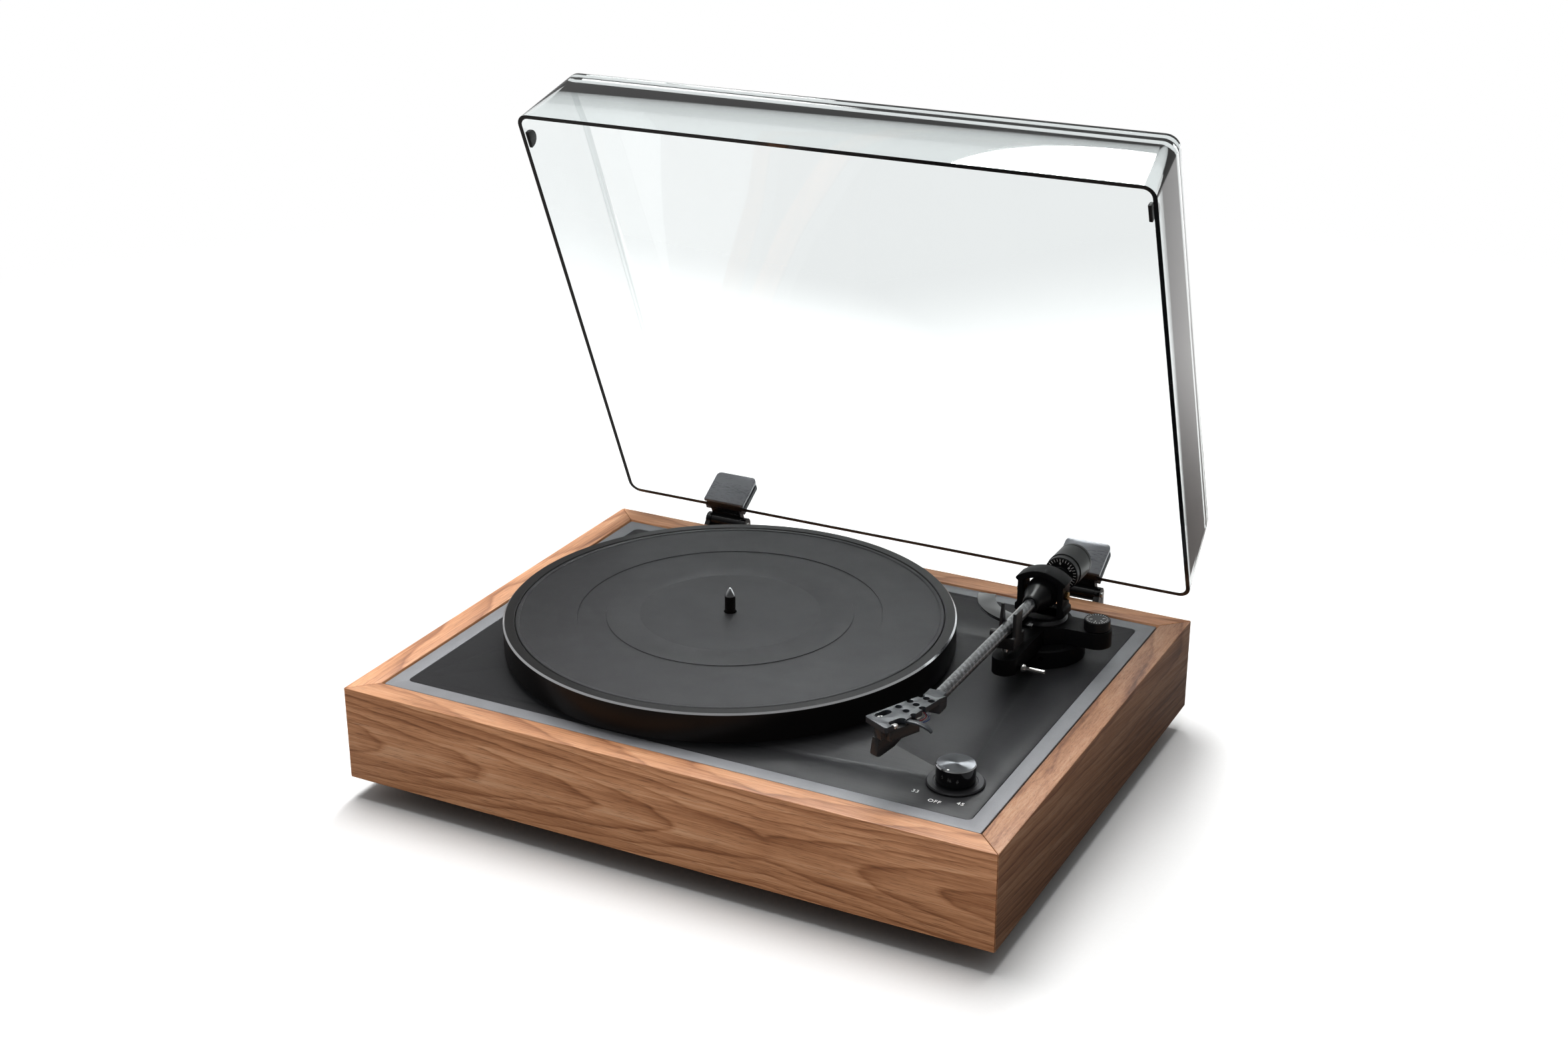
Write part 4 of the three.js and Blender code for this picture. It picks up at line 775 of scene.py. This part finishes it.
# %% Yoke
w = half_width("gimbal_yoke")
hub_z, crown = levels("gimbal_yoke")
leg, depth = 5.2, 13.6
shoulder = crown - 6.5
bend = [(-w + 2 * w * i / 24, shoulder + (crown - shoulder) * (1 - (2 * i / 24 - 1) ** 2)) for i in range(25)]
inner_w = w - leg
window_top = crown - 4.6
window = [(inner_w - 2 * inner_w * i / 24, shoulder - 2 + (window_top - shoulder + 2)
    * (1 - (2 * i / 24 - 1) ** 2)) for i in range(25)]
outline = [(-w, shoulder - 1.4)] + bend + [(w, shoulder - 1.4), (w - 1.5, shoulder - 2.4),
    (w - 1.5, hub_z + 7.4), (w, hub_z + 6.2), (w, hub_z + 2), (w - 4, hub_z)]
outline += [(-w + 4, hub_z), (-w, hub_z + 2), (-w, hub_z + 6.2), (-w + 1.5, hub_z + 7.4),
    (-w + 1.5, shoulder - 2.4)]
arch = prism("yoke arch", [(arm_x + a, b) for a, b in outline], pivot_y - depth / 2, pivot_y + depth / 2,
    [CAST], "XZ")
hollow = [(inner_w, hub_z + 1.6)] + window + [(-inner_w, hub_z + 1.6)]
opening = prism("yoke opening", [(arm_x + a, b) for a, b in hollow], pivot_y - depth, pivot_y + depth,
    [CAST], "XZ")
bores = along_x(rod("yoke bores", 2.9, -w - 4, w + 4, (0, 0, 0), [CAST]), (arm_x, pivot_y, arm_z))
arch = rounded(carve(arch, [opening, bores]), 0.5, 3, 40)
hub = lathe("yoke hub", [(0, hub_z), (14.1, hub_z), (14.4, hub_z + 0.3), (14.4, hub_z + 1.3),
    (14.1, hub_z + 1.6), (0, hub_z + 1.6)], (arm_x, pivot_y, 0), [CAST], sides=96)
wear(joined("yoke look", [arch, hub], [CAST]), "yoke_body", "gimbal_yoke")

# %% Slotted pivot screws
for side, node in ((-1, "pivot_screw_left"), (1, "pivot_screw_right")):
    x0, x1 = lo(node).x, hi(node).x
    length = x1 - x0
    rad = (hi(node).z - lo(node).z) / 2
    screw = lathe(f"{node} blank", [(0, 0), (rad - 0.3, 0), (rad, 0.3), (rad, length - 0.3),
        (rad - 0.3, length), (0, length)], (0, 0, 0), [BRASS], sides=48)
    along_x(screw, (x0, pivot_y, arm_z))
    face_x = x0 if side < 0 else x1
    slit = prism("slit", [(pivot_y - 4, arm_z - 0.35), (pivot_y + 4, arm_z - 0.35),
        (pivot_y + 4, arm_z + 0.35), (pivot_y - 4, arm_z + 0.35)], face_x - 0.8, face_x + 0.8, [BRASS], "YZ")
    cut_screw = carve(screw, [slit])
    cut_screw.name = f"{node} look"
    wear(cut_screw, "yoke_body", node)
print("yoke and screws")

# %% Bearing block with its long cone, and the stub for the weight
front, back = lo("arm_bearing_block").y - pivot_y, hi("arm_bearing_block").y - pivot_y
profile = [(0, front), (5.1, front), (5.6, front + 0.5), (5.9, front + 1.6), (5.5, front + 2.0),
    (5.6, front + 2.4)]
profile += [(5.6 + (9.6 - 5.6) * t ** 1.3, front + 2.4 + (14.0 - 2.4 - 0.2) * t)
    for t in (0.15, 0.3, 0.5, 0.7, 0.85, 1.0)]
profile += [(11.1 * math.cos(t), 11.1 * math.sin(t)) for t in (-0.6, -0.4, -0.2, 0.0, 0.2, 0.4, 0.6)]
profile += [(5.6, 8.6), (4.0, 11), (4.0, back - 0.4), (3.6, back), (0, back)]
block = lathe("bearing block look", profile, (arm_x, pivot_y, arm_z), [SATIN], axis="Y", sides=96)
socket = rod("socket", 4.3, front - 1, front + 8, (arm_x, pivot_y, arm_z), [SATIN], "Y", 48)
pits = []
for side in (-1.22, 1.22):
    pit = rod("pit", 3, side * 9 - 3, side * 9 + 3, (0, 0, 0), [SATIN])
    pits.append(along_x(pit, (arm_x, pivot_y, arm_z)))
wear(carve(block, [socket] + pits), "arm_body", "arm_bearing_block")

# %% Carbon tube
t0, t1 = lo("arm_tube").y, hi("arm_tube").y
tube_r = half_width("arm_tube")
steps = 60
profile = [(0, 0)] + [(tube_r, (t1 - t0) * i / steps) for i in range(steps + 1)] + [(0, t1 - t0)]
wear(lathe("carbon tube", profile, (arm_x, t0, arm_z), [CARBON], axis="Y", sides=64), "arm_body", "arm_tube")
print("tube", round(t1 - t0, 1), "mm, radius", round(tube_r, 2))

# %% [markdown]
# ## Headshell and cartridge
# Both lie turned on the end of the tube, so they are drawn straight and turned once.

# %% The headshell's own frame
HEAD_TURN = math.radians(25)
HEAD = Matrix.Translation(Vector((arm_x + 0.6, t0 + 3.0, 0)) * MM) @ Matrix.Rotation(-HEAD_TURN, 4, "Z")


def turned(piece):
    piece.data.transform(HEAD)
    return piece


def upright(x, y, low, high, radius, sides=32):
    """A plain round pin standing up, for holes and studs."""
    return rod("pin", radius, low, high, (x, y, 0), [SHELL], sides=sides)


print("head frame", [round(v, 1) for v in HEAD.translation / MM])

# %% Headshell plate, with its holes and slots
MIDDLE = 7.4
SHELL_FRONT = -52
SCREW_Y = SHELL_FRONT + 8.2
SCREW_X = 6.35
shell_top = arm_z + 5.0
shell_under = shell_top - 3.5
outline = [(-3, -51), (-2, -52), (15.3, -52.6), (16.3, -51.4), (15.7, -38), (7.2, -3), (7.2, 1.6), (-3, -1.8)]
plate = prism("headshell plate", outline, shell_under, shell_top, [SHELL])
holes = []
for row in range(3):
    centre, gap, y = 2.05 + 2.33 * row, 4.4 + 1.15 * row, -9.4 - 9.8 * row
    for column in (-1, 0, 1):
        holes.append(upright(centre + column * gap, y, shell_under - 1, shell_top + 1, 2.1, 40))
slots = []
for side in (-1, 1):
    x = MIDDLE + side * SCREW_X
    ring = arc(x, SCREW_Y - 1.1, 2.5, 180, 360, 16) + arc(x, SCREW_Y + 5.5, 2.5, 0, 180, 16)
    slots.append(prism("slot", ring, shell_under - 1, shell_top + 1, [SHELL]))
plate = rounded(carve(plate, holes + slots), 0.35, 3, 40)

# %% Its collar, rear fin and finger lift
collar_low = arm_z - 4.0 - 1.4
block = prism("collar block", [(-6, -6.4), (5.4, -6.4), (5.4, 4.2), (-6, 4.2)], collar_low,
    shell_top - 0.02, [SHELL])
bore = rod("bore", 4.15, -2, 30, (-0.6, -3.3, arm_z), [SHELL], "Y", 48)
block = rounded(carve(block, [bore]), 0.8, 3, 40)
block.data.transform(Matrix.Rotation(HEAD_TURN, 4, "Z"))
tab = [(13.3, -35, 2.0), (16.3, -34, 2.0), (19.3, -32.5, 2.0), (22.0, -31, 1.5), (24.3, -29.7, 0.6),
    (26.2, -28.4, -0.6), (27.8, -27.5, -2.4)]
wide = (1.8, 1.85, 1.85, 1.85, 1.8, 1.7, 1.3)
top_side = [[(x + 0.4 * w * s, y - 0.9 * w * s, shell_under + z + 0.7) for (x, y, z), w in zip(tab, wide)]
    for s in (-1, 1)]
low_side = [[(x, y, z - 1.4) for x, y, z in row] for row in top_side]
count = len(tab)
points = top_side[0] + top_side[1] + low_side[0] + low_side[1]
faces = []
for i in range(count - 1):
    for a, b in ((0, 1), (1, 3), (3, 2), (2, 0)):
        faces.append((a * count + i, b * count + i, b * count + i + 1, a * count + i + 1))
faces += [(0, count, 3 * count, 2 * count), (count - 1, 2 * count - 1, 4 * count - 1, 3 * count - 1)]
finger = rounded(solid("finger lift", points, faces, [SHELL]), 0.35, 3, 50)
wear(turned(joined("headshell look", [plate, block, finger], [SHELL])), "arm_body", "headshell")

# %% Cartridge body and stylus
body_top = shell_under - 0.3
body_low = body_top - 7.2
front = SHELL_FRONT + 1.2
half, nose = 8.0, 3.1
plan = [(MIDDLE - nose, front), (MIDDLE + nose, front), (MIDDLE + nose + 0.4, front + 3),
    (MIDDLE + half - 0.8, front + 3), (MIDDLE + half, front + 4.2)]
plan += [(MIDDLE + half, front + 25), (MIDDLE - half, front + 25), (MIDDLE - half, front + 4.2),
    (MIDDLE - half + 0.8, front + 3), (MIDDLE - nose - 0.4, front + 3)]
cartridge = rounded(prism("cartridge look", plan, body_low, body_top, [CARTRIDGE]), 0.3, 3, 25)
bores = [upright(MIDDLE + side * SCREW_X, SCREW_Y, body_top - 5, body_top + 1, 1.45) for side in (-1, 1)]
wear(turned(carve(cartridge, bores)), "arm_body", "cartridge_body")

tip = arm_z - 17.5
unit_top = body_low - 0.3
side_view = [(front, unit_top), (front - 1.7, tip + 1), (front + 0.8, tip), (front + 12, tip + 3.4),
    (front + 24, unit_top)]
unit = rounded(prism("stylus look", side_view, MIDDLE - 1.8 - 3.1, MIDDLE - 1.8 + 3.1, [CARTRIDGE], "YZ"),
    0.35, 3, 25)
wear(turned(unit), "arm_body", "stylus_unit")

for side, node in ((-1, "cartridge_screw_left"), (1, "cartridge_screw_right")):
    x = MIDDLE + side * SCREW_X
    stem, cap = body_top - 4.5, body_top + 1.2
    crown = cap + 1.6
    turned_screw = lathe("screw", [(0, stem), (1.2, stem), (1.2, cap), (1.95, cap), (2.1, cap + 0.2),
        (2.1, crown - 0.35), (1.7, crown - 0.05), (0.9, crown), (0, crown)], (x, SCREW_Y, 0), [CHROME],
        sides=48)
    slit = prism("slit", [(x - 3, SCREW_Y - 0.32), (x + 3, SCREW_Y - 0.32), (x + 3, SCREW_Y + 0.32),
        (x - 3, SCREW_Y + 0.32)], crown - 0.7, crown + 1, [CHROME])
    to_screw = Matrix.Translation(Vector((x, SCREW_Y, 0)) * MM)
    slit.data.transform(to_screw @ Matrix.Rotation(math.radians(35 * side), 4, "Z") @ to_screw.inverted())
    screw = carve(turned_screw, [slit])
    screw.name = f"{node} look"
    wear(turned(screw), "arm_body", node)
print("cartridge from", round(body_low, 1), "to", round(body_top, 1))

# %% Cartridge leads with their coloured sleeves
rear = front + 25
for k, colour in enumerate(("green", "white", "red", "blue")):
    x = MIDDLE - 4.5 + 3.0 * k
    z = (body_low + body_top) / 2
    path = [(x, rear - 0.4, z), (x, rear + 3, z - 0.4), (x - 0.2 * k, rear + 8, z - 1.6),
        (x - 1.5, rear + 13, z - 1.2), (-1.4 + 1.0 * k, -12, arm_z - 1.6), (-1.4 + 1.0 * k, -5, arm_z - 1.2)]
    lead = swept(f"{colour} lead", path, 0.35, [WIRES[colour]])
    wear(turned(lead), "arm_body")
    sleeve = swept(f"{colour} sleeve", [path[0], (x, rear + 1.6, z - 0.15), path[1]], 0.85, [WIRES[colour]])
    wear(turned(sleeve), "arm_body")
print("leads made")

# %% [markdown]
# ## Counterweight

# %% Sleeve, weight and dial
def round_ends(name, node, profile, materials, zones=None):
    """A body of revolution on the arm's axis. Heights run from the node's front face to its back."""
    return lathe(name, profile, (arm_x, lo(node).y, arm_z), materials, axis="Y", sides=128, zones=zones)


length = run_along("counterweight_sleeve")
r = half_width("counterweight_sleeve")
inside = 4.3
profile = [(inside, 0), (r - 0.2, 0), (r, 0.2), (r, length - 0.2), (r - 0.2, length), (inside, length),
    (inside, 0)]
wear(round_ends("counterweight sleeve look", "counterweight_sleeve", profile, [FLANGE]), "sleeve_body",
    "counterweight_sleeve")

length = run_along("counterweight")
r = half_width("counterweight")
inside = 5.86
profile = [(inside, 0), (r - 0.4, 0), (r, 0.4), (r, length - 3.6), (r - 0.5, length - 3.4),
    (r - 0.5, length - 2.9), (r, length - 2.7), (r, length - 0.7), (r - 0.7, length), (inside, length),
    (inside, 0)]
wear(round_ends("counterweight look", "counterweight", profile, [SATIN]), "weight_body", "counterweight")

length = run_along("tracking_dial")
r = half_width("tracking_dial")
profile = [(inside, 0.3), (inside + 0.6, 0), (r - 0.5, 0), (r, 0.5), (r, length), (inside, length),
    (inside, 0.3)]
wear(round_ends("tracking dial look", "tracking_dial", profile, [SATIN]), "tracking_dial_body",
    "tracking_dial")
print("weight radius", round(r, 1))

# %% Marks on the dial's front face
STAND = Matrix.Rotation(math.radians(90), 3, "X")
face_y = lo("tracking_dial").y
centre = (arm_x, face_y - 0.03, arm_z)
wear(ring_of_marks("force marks", 30, r - 1.9, 0, 12, (2.0, 0.24, 0.06), centre, STAND), "tracking_dial_body")
for k, number in enumerate(("0", "0.5", "1", "1.5", "2", "2.5")):
    turn = math.radians(96 - 60 * k)
    spot = (arm_x + (r - 4.3) * math.cos(turn), face_y - 0.03, arm_z + (r - 4.3) * math.sin(turn))
    wear(lettering(f"force {number}", number, 2.4, spot,
        STAND @ Matrix.Rotation(turn - math.pi / 2, 3, "Z"), [INK]), "tracking_dial_body")
print("dial marks", round(r, 1))

# %% [markdown]
# ## Dust cover
# The cover is drawn shut, about its hinge axis, and then opened to the angle it has in the solids.

# %% The cover's own frame
pin = mid("hinge_pin_left")
OPEN_TURN = math.radians(-67.2)
OPEN = Matrix.Translation(Vector((0, pin.y, pin.z)) * MM) @ Matrix.Rotation(OPEN_TURN, 4, "X")
PLINTH_WIDTH = hi("right_rail").x - lo("left_rail").x
PLINTH_DEPTH = 344.0
# side, front and rear say how far each wall leans in over the cover's height.
LID = {
    "width": PLINTH_WIDTH - 6.9, "depth": PLINTH_DEPTH - 3.5, "height": 62.8, "wall": 3.0,
    "side": 5.8, "front": 5.4, "rear": 9.4, "corner": 9.0, "edge": 4.0,
}
RIM_Y, RIM_Z = -13.8, 0.1
HINGE_X = 140.0
CLIP_HALF = 16.5


def opened(piece):
    piece.data.transform(OPEN)
    return piece


def cover_ring(inset, z, corner, steps=8):
    """A rounded rectangle round the cover at height z, counter-clockwise from the front right."""
    share = (z - RIM_Z) / LID["height"]
    x = LID["width"] / 2 - LID["side"] * share - inset
    rear = RIM_Y - LID["rear"] * share - inset
    front_y = RIM_Y - LID["depth"] + LID["front"] * share + inset
    c = max(corner, 0.6)
    points = []
    near, far = front_y + c, rear - c
    for cx, cy, start in ((x - c, far, 0), (-x + c, far, 90), (-x + c, near, 180), (x - c, near, 270)):
        points += arc(cx, cy, c, start, start + 90, steps)
    return [(px, py, z) for px, py in points]


# %% Clear shell
top = RIM_Z + LID["height"]
edge, corner, wall = LID["edge"], LID["corner"], LID["wall"]
rings = [(edge * (1 - math.sin(t)), top - edge * (1 - math.cos(t)))
    for t in [math.radians(a) for a in (0, 15, 30, 45, 60, 75, 90)]]
outer = [cover_ring(inset, z, corner - inset + 1 if z == top else corner - inset) for inset, z in rings]
soft = 0.25
outer += [cover_ring(0, RIM_Z + soft, corner), cover_ring(soft, RIM_Z, corner - soft),
    cover_ring(wall - soft, RIM_Z, corner - wall + soft), cover_ring(wall, RIM_Z + soft, corner - wall)]
inner_edge = 1.2
outer += [cover_ring(wall, top - wall - inner_edge, corner - wall),
    cover_ring(wall + inner_edge * 0.3, top - wall - inner_edge * 0.3, corner - wall - 0.3)]
outer += [cover_ring(wall + inner_edge, top - wall, corner - wall - inner_edge)]
size = len(outer[0])
points = [p for ring in outer for p in ring]
faces, marks = [tuple(range(size))], [0]
for k in range(len(outer) - 1):
    for i in range(size):
        j = (i + 1) % size
        faces.append((k * size + i, k * size + j, (k + 1) * size + j, (k + 1) * size + i))
        # Painted shade: the rounded top bend takes the darker copy of the acrylic.
        marks.append(1 if 7 <= k <= 9 else (2 if k <= 5 else 0))
faces.append(tuple(range((len(outer) - 1) * size, len(outer) * size))[::-1])
marks.append(0)
# Painted shade: the rim faces take the dark opaque edge material.
shell = solid("dust cover look", points, faces, [CLEAR, SHADED_RIM, SHADED_BEND])
for face, mark in zip(shell.data.polygons, marks):
    face.material_index = mark
notch = CLIP_HALF - 2
tools = []
for side in (-1, 1):
    x = side * HINGE_X
    tools.append(prism("notch", [(x - notch, RIM_Y - 8), (x + notch, RIM_Y - 8), (x + notch, RIM_Y + 4),
        (x - notch, RIM_Y + 4)], RIM_Z - 1, RIM_Z + 5.3, [CLEAR]))
shell = carve(shell, tools)
wear(opened(shell), "cover_body", "dust_cover")
print("cover faces", len(shell.data.polygons))

# %% Hinge clips, bases, pins and bumpers
REAR_LEAN = LID["rear"] / LID["height"]


def clip_plate(name, centre, near, thick, round_mm=3.5):
    """A plate along the cover's rear wall, from just above the rim, with round upper corners."""
    low, high, half = RIM_Z + 0.2, RIM_Z + 26.7, CLIP_HALF
    outline = [(centre - half, low), (centre + half, low)] + arc(centre + half - round_mm, high - round_mm,
        round_mm, 0, 90, 8)
    outline += arc(centre - half + round_mm, high - round_mm, round_mm, 90, 180, 8)
    plate = prism(name, outline, near, near + thick, [CLIP_TOP], "XZ")
    for v in plate.data.vertices:
        v.co.y -= REAR_LEAN * (v.co.z - RIM_Z * MM)
    return rounded(plate, 0.4, 3, 40)


for side, sign in (("left", -1), ("right", 1)):
    x = HINGE_X * sign
    inside_plate = clip_plate("inside plate", x, RIM_Y - 3.0 - 0.3 - 2.6, 2.6)
    outside_plate = clip_plate("outside plate", x, RIM_Y + 0.3, 3.4)
    web = prism("web", [(x - 14.2, RIM_Y - 4.2), (x + 14.2, RIM_Y - 4.2), (x + 14.2, RIM_Y + 1.3),
        (x - 14.2, RIM_Y + 1.3)], RIM_Z + 0.2, RIM_Z + 5, [GLOSS])
    neck = prism("neck", [(x - 12.2, RIM_Y + 1.3), (x + 12.2, RIM_Y + 1.3), (x + 12.2, -2.6),
        (x - 12.2, -2.6)], RIM_Z + 0.2, 4.6, [GLOSS])
    barrel = lathe("barrel", [(2.3, -12.2), (4.8, -12.2), (5.2, -11.8), (5.2, 11.8), (4.8, 12.2),
        (2.3, 12.2), (2.3, -12.2)], (0, 0, 0), [GLOSS], sides=48)
    along_x(barrel, (x, 0, 0))
    wear(opened(joined(f"hinge clip {side}", [inside_plate, outside_plate, web, neck, barrel],
        [GLOSS, CLIP_TOP])), "cover_body", f"hinge_clip_{side}")
    wear(copied(f"hinge_base_{side}", [GLOSS], 0.4, 2), "base", f"hinge_base_{side}")
    wear(copied(f"hinge_pin_{side}", [CHROME], 0.3, 2), "base", f"hinge_pin_{side}")
    wear(copied(f"cover_bumper_{side}", [SOFT_RUBBER], 0.4, 2), "cover_body", f"cover_bumper_{side}")
print("hinges dressed")

# %% [markdown]
# ## Underside, drive and terminals

# %% Boards, feet and what is inside
INSIDE = {
    "base_board": (BOARD, 0.6), "deck_board": (BOARD, 0.4), "spindle_bearing": (BRASS, 0.3),
    "sub_platter": (PLASTIC, 0.5),
    "motor": (STEEL, 0.4), "motor_pulley": (BRASS, 0.15), "drive_belt": (BELT, 0.1),
    "control_board": (GREEN_BOARD, 0.15),
    "speed_switch": (PLASTIC, 0.5), "terminal_plate": (PLASTIC, 0.4), "left_output_jack": (BRASS, 0.2),
    "right_output_jack": (BRASS, 0.2),
    "ground_post": (CHROME, 0.3), "power_inlet": (PLASTIC, 0.3),
}
for node, (look, bevel) in INSIDE.items():
    body = "pulley_body" if node == "motor_pulley" else ("platter_body" if node == "sub_platter" else "base")
    wear(copied(node, [look], bevel, 2), body, node)
for node in ("foot_front_left", "foot_rear_left", "foot_front_right", "foot_rear_right"):
    spot = mid(node)
    r = half_width(node)
    base_z, tall = levels(node)
    profile = [(0, base_z), (r - 1.4, base_z), (r - 0.4, base_z + 0.4), (r, base_z + 1.4),
        (r, base_z + 4.2), (r - 0.5, base_z + 4.5), (r - 0.5, base_z + 5.1), (r, base_z + 5.4),
        (r, tall - 0.6), (r - 0.6, tall), (0, tall)]
    zones = [0, 0, 0, 0] + [1] * 6
    wear(lathe(f"{node} look", profile, (spot.x, spot.y, 0), [RUBBER, PLASTIC], sides=96, zones=zones),
        "base", node)
print("dressed", len(INSIDE) + 4)

# %% [markdown]
# ## Stage, light and camera

# %% Floor and backdrop: a round sweep of white paper
# Near the object it is lit paper; far out it turns into an even glow, so the background is white.
# It is seen directly and through the clear cover only. A dark table under it lights the object from below,
# and glows behind the object, where the cover's sides mirror it.


def revolved_sheet(name, outline, sides, materials):
    turns = [2 * math.pi * i / sides for i in range(sides)]
    points = [(r * math.cos(turn), r * math.sin(turn), z) for r, z in outline for turn in turns]
    faces = []
    for k in range(0, (len(outline) - 1) * sides, sides):
        for i in range(sides):
            j = (i + 1) % sides
            faces.append((k + i, k + j, k + sides + j, k + sides + i))
    mesh = bpy.data.meshes.new(name)
    mesh.from_pydata(points, [], faces)
    return finished(name, mesh, materials)


paper, tree, shader, place = blank("white paper sweep")
radius_mm = add(tree, "ShaderNodeVectorMath", {0: stretched(tree, place, (1, 1, 0))},
    operation="LENGTH").outputs["Value"]
glow = add(tree, "ShaderNodeMapRange", {"Value": radius_mm, "From Min": 420.0, "From Max": 1500.0},
    interpolation_type="SMOOTHSTEP").outputs[0]
fibres = mixed(tree, noise(tree, stretched(tree, place, (0.4, 0.4, 0.4))), linear("#f2f2f1"),
    linear("#f5f5f5"))
feed(tree, shader, {
    "Base Color": mixed(tree, glow, fibres, [0, 0, 0, 1]), "Roughness": 1.0, "Specular IOR Level": 0.0,
    "Emission Strength": glow, "Emission Color": (1, 1, 1, 1),
})
sweep = [(0.001, 0), (0.6, 0), (1.6, 0), (4.0, 0)] + [(4.0 + 1.5 * math.sin(t), 1.5 - 1.5 * math.cos(t))
    for t in [math.radians(9 * i) for i in range(1, 11)]] + [(5.5, 8.0), (0.001, 9.0)]
backdrop = revolved_sheet("backdrop", sweep, 96, [paper])
backdrop.visible_diffuse = backdrop.visible_glossy = backdrop.visible_shadow = False
dark, tree, shader, place = blank("dark table, light behind")
grain = noise(tree, stretched(tree, place, (0.3, 0.3, 0.3)))
depth_mm = add(tree, "ShaderNodeSeparateXYZ", {0: place}).outputs[1]
behind = add(tree, "ShaderNodeMapRange", {"Value": depth_mm, "From Min": 450.0, "From Max": 1100.0,
    "To Max": 0.8}, interpolation_type="SMOOTHSTEP").outputs[0]
feed(tree, shader, {
    "Base Color": mixed(tree, grain, linear("#585452"), linear("#5c5856")), "Roughness": 0.9,
    "Emission Strength": behind, "Emission Color": (1, 1, 1, 1),
})
table = revolved_sheet("dark_table", [(0.001, -0.0005), (4.0, -0.0005)], 64, [dark])
table.visible_camera = table.visible_transmission = False
print("stage", backdrop.name, table.name)

# %% World: bright behind and above, dim in front and to the right, by direction
world = bpy.data.worlds.new("studio")
bpy.context.scene.world = world
world.use_nodes = True
tree = world.node_tree
toward = add(tree, "ShaderNodeTexCoord").outputs["Generated"]
facing = add(tree, "ShaderNodeVectorMath", {0: toward, 1: (-0.40, 0.55, 0.73)},
    operation="DOT_PRODUCT").outputs["Value"]
level = spread(tree, facing, -0.1, 0.9, 0.05, 0.5)
feed(tree, tree.nodes["Background"], {"Strength": level, "Color": (1.0, 1.0, 1.0, 1.0)})


# %% Lights


def soft_light(name, aim_from, size, power, target=(0.0, 0.0, 0.08)):
    data = bpy.data.lights.new(name, "AREA")
    data.shape = "DISK"
    data.size = size
    data.energy = power
    lamp = bpy.data.objects.new(name, data)
    bpy.context.scene.collection.objects.link(lamp)
    lamp.location = Vector(aim_from)
    lamp.rotation_euler = (Vector(target) - Vector(aim_from)).to_track_quat("-Z", "Y").to_euler()
    return lamp


soft_light("overhead softbox", (-0.2, 0.25, 2.4), 1.7, 62).visible_transmission = False
soft_light("key", (-0.33, 1.1, 1.9), 0.6, 36)
FILL = soft_light("fill", (0.25, -2.1, 1.0), 1.5, 30)
FILL.visible_glossy = False
unlit = bpy.data.collections.new("not lit by the fill")
unlit.objects.link(backdrop)
unlit.collection_objects[0].light_linking.link_state = "EXCLUDE"
FILL.light_linking.receiver_collection = unlit
print("world and lights set")

# %% Camera
CAMERA = {"place": (0.6097, -1.1995, 0.7156), "azimuth": 27.36, "elevation": 22.39, "roll": 0.14,
    "lens": 50.97}
lens = bpy.data.cameras.new("view")
lens.lens = CAMERA["lens"]
lens.sensor_width = 36.0
lens.clip_start, lens.clip_end = 0.01, 50
camera = bpy.data.objects.new("view", lens)
bpy.context.scene.collection.objects.link(camera)
camera.location = CAMERA["place"]
turns = (90 - CAMERA["elevation"], CAMERA["roll"], CAMERA["azimuth"])
camera.rotation_euler = [math.radians(turn) for turn in turns]
bpy.context.scene.camera = camera
bpy.context.scene.view_settings.view_transform = "Standard"
print("camera", CAMERA)

# %% Sizes, then the end
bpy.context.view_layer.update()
shown = [o for o in bpy.context.scene.objects if o.type == "MESH" and not o.hide_render]
print("triangles", sum(len(face.vertices) - 2 for o in shown for face in o.data.polygons))
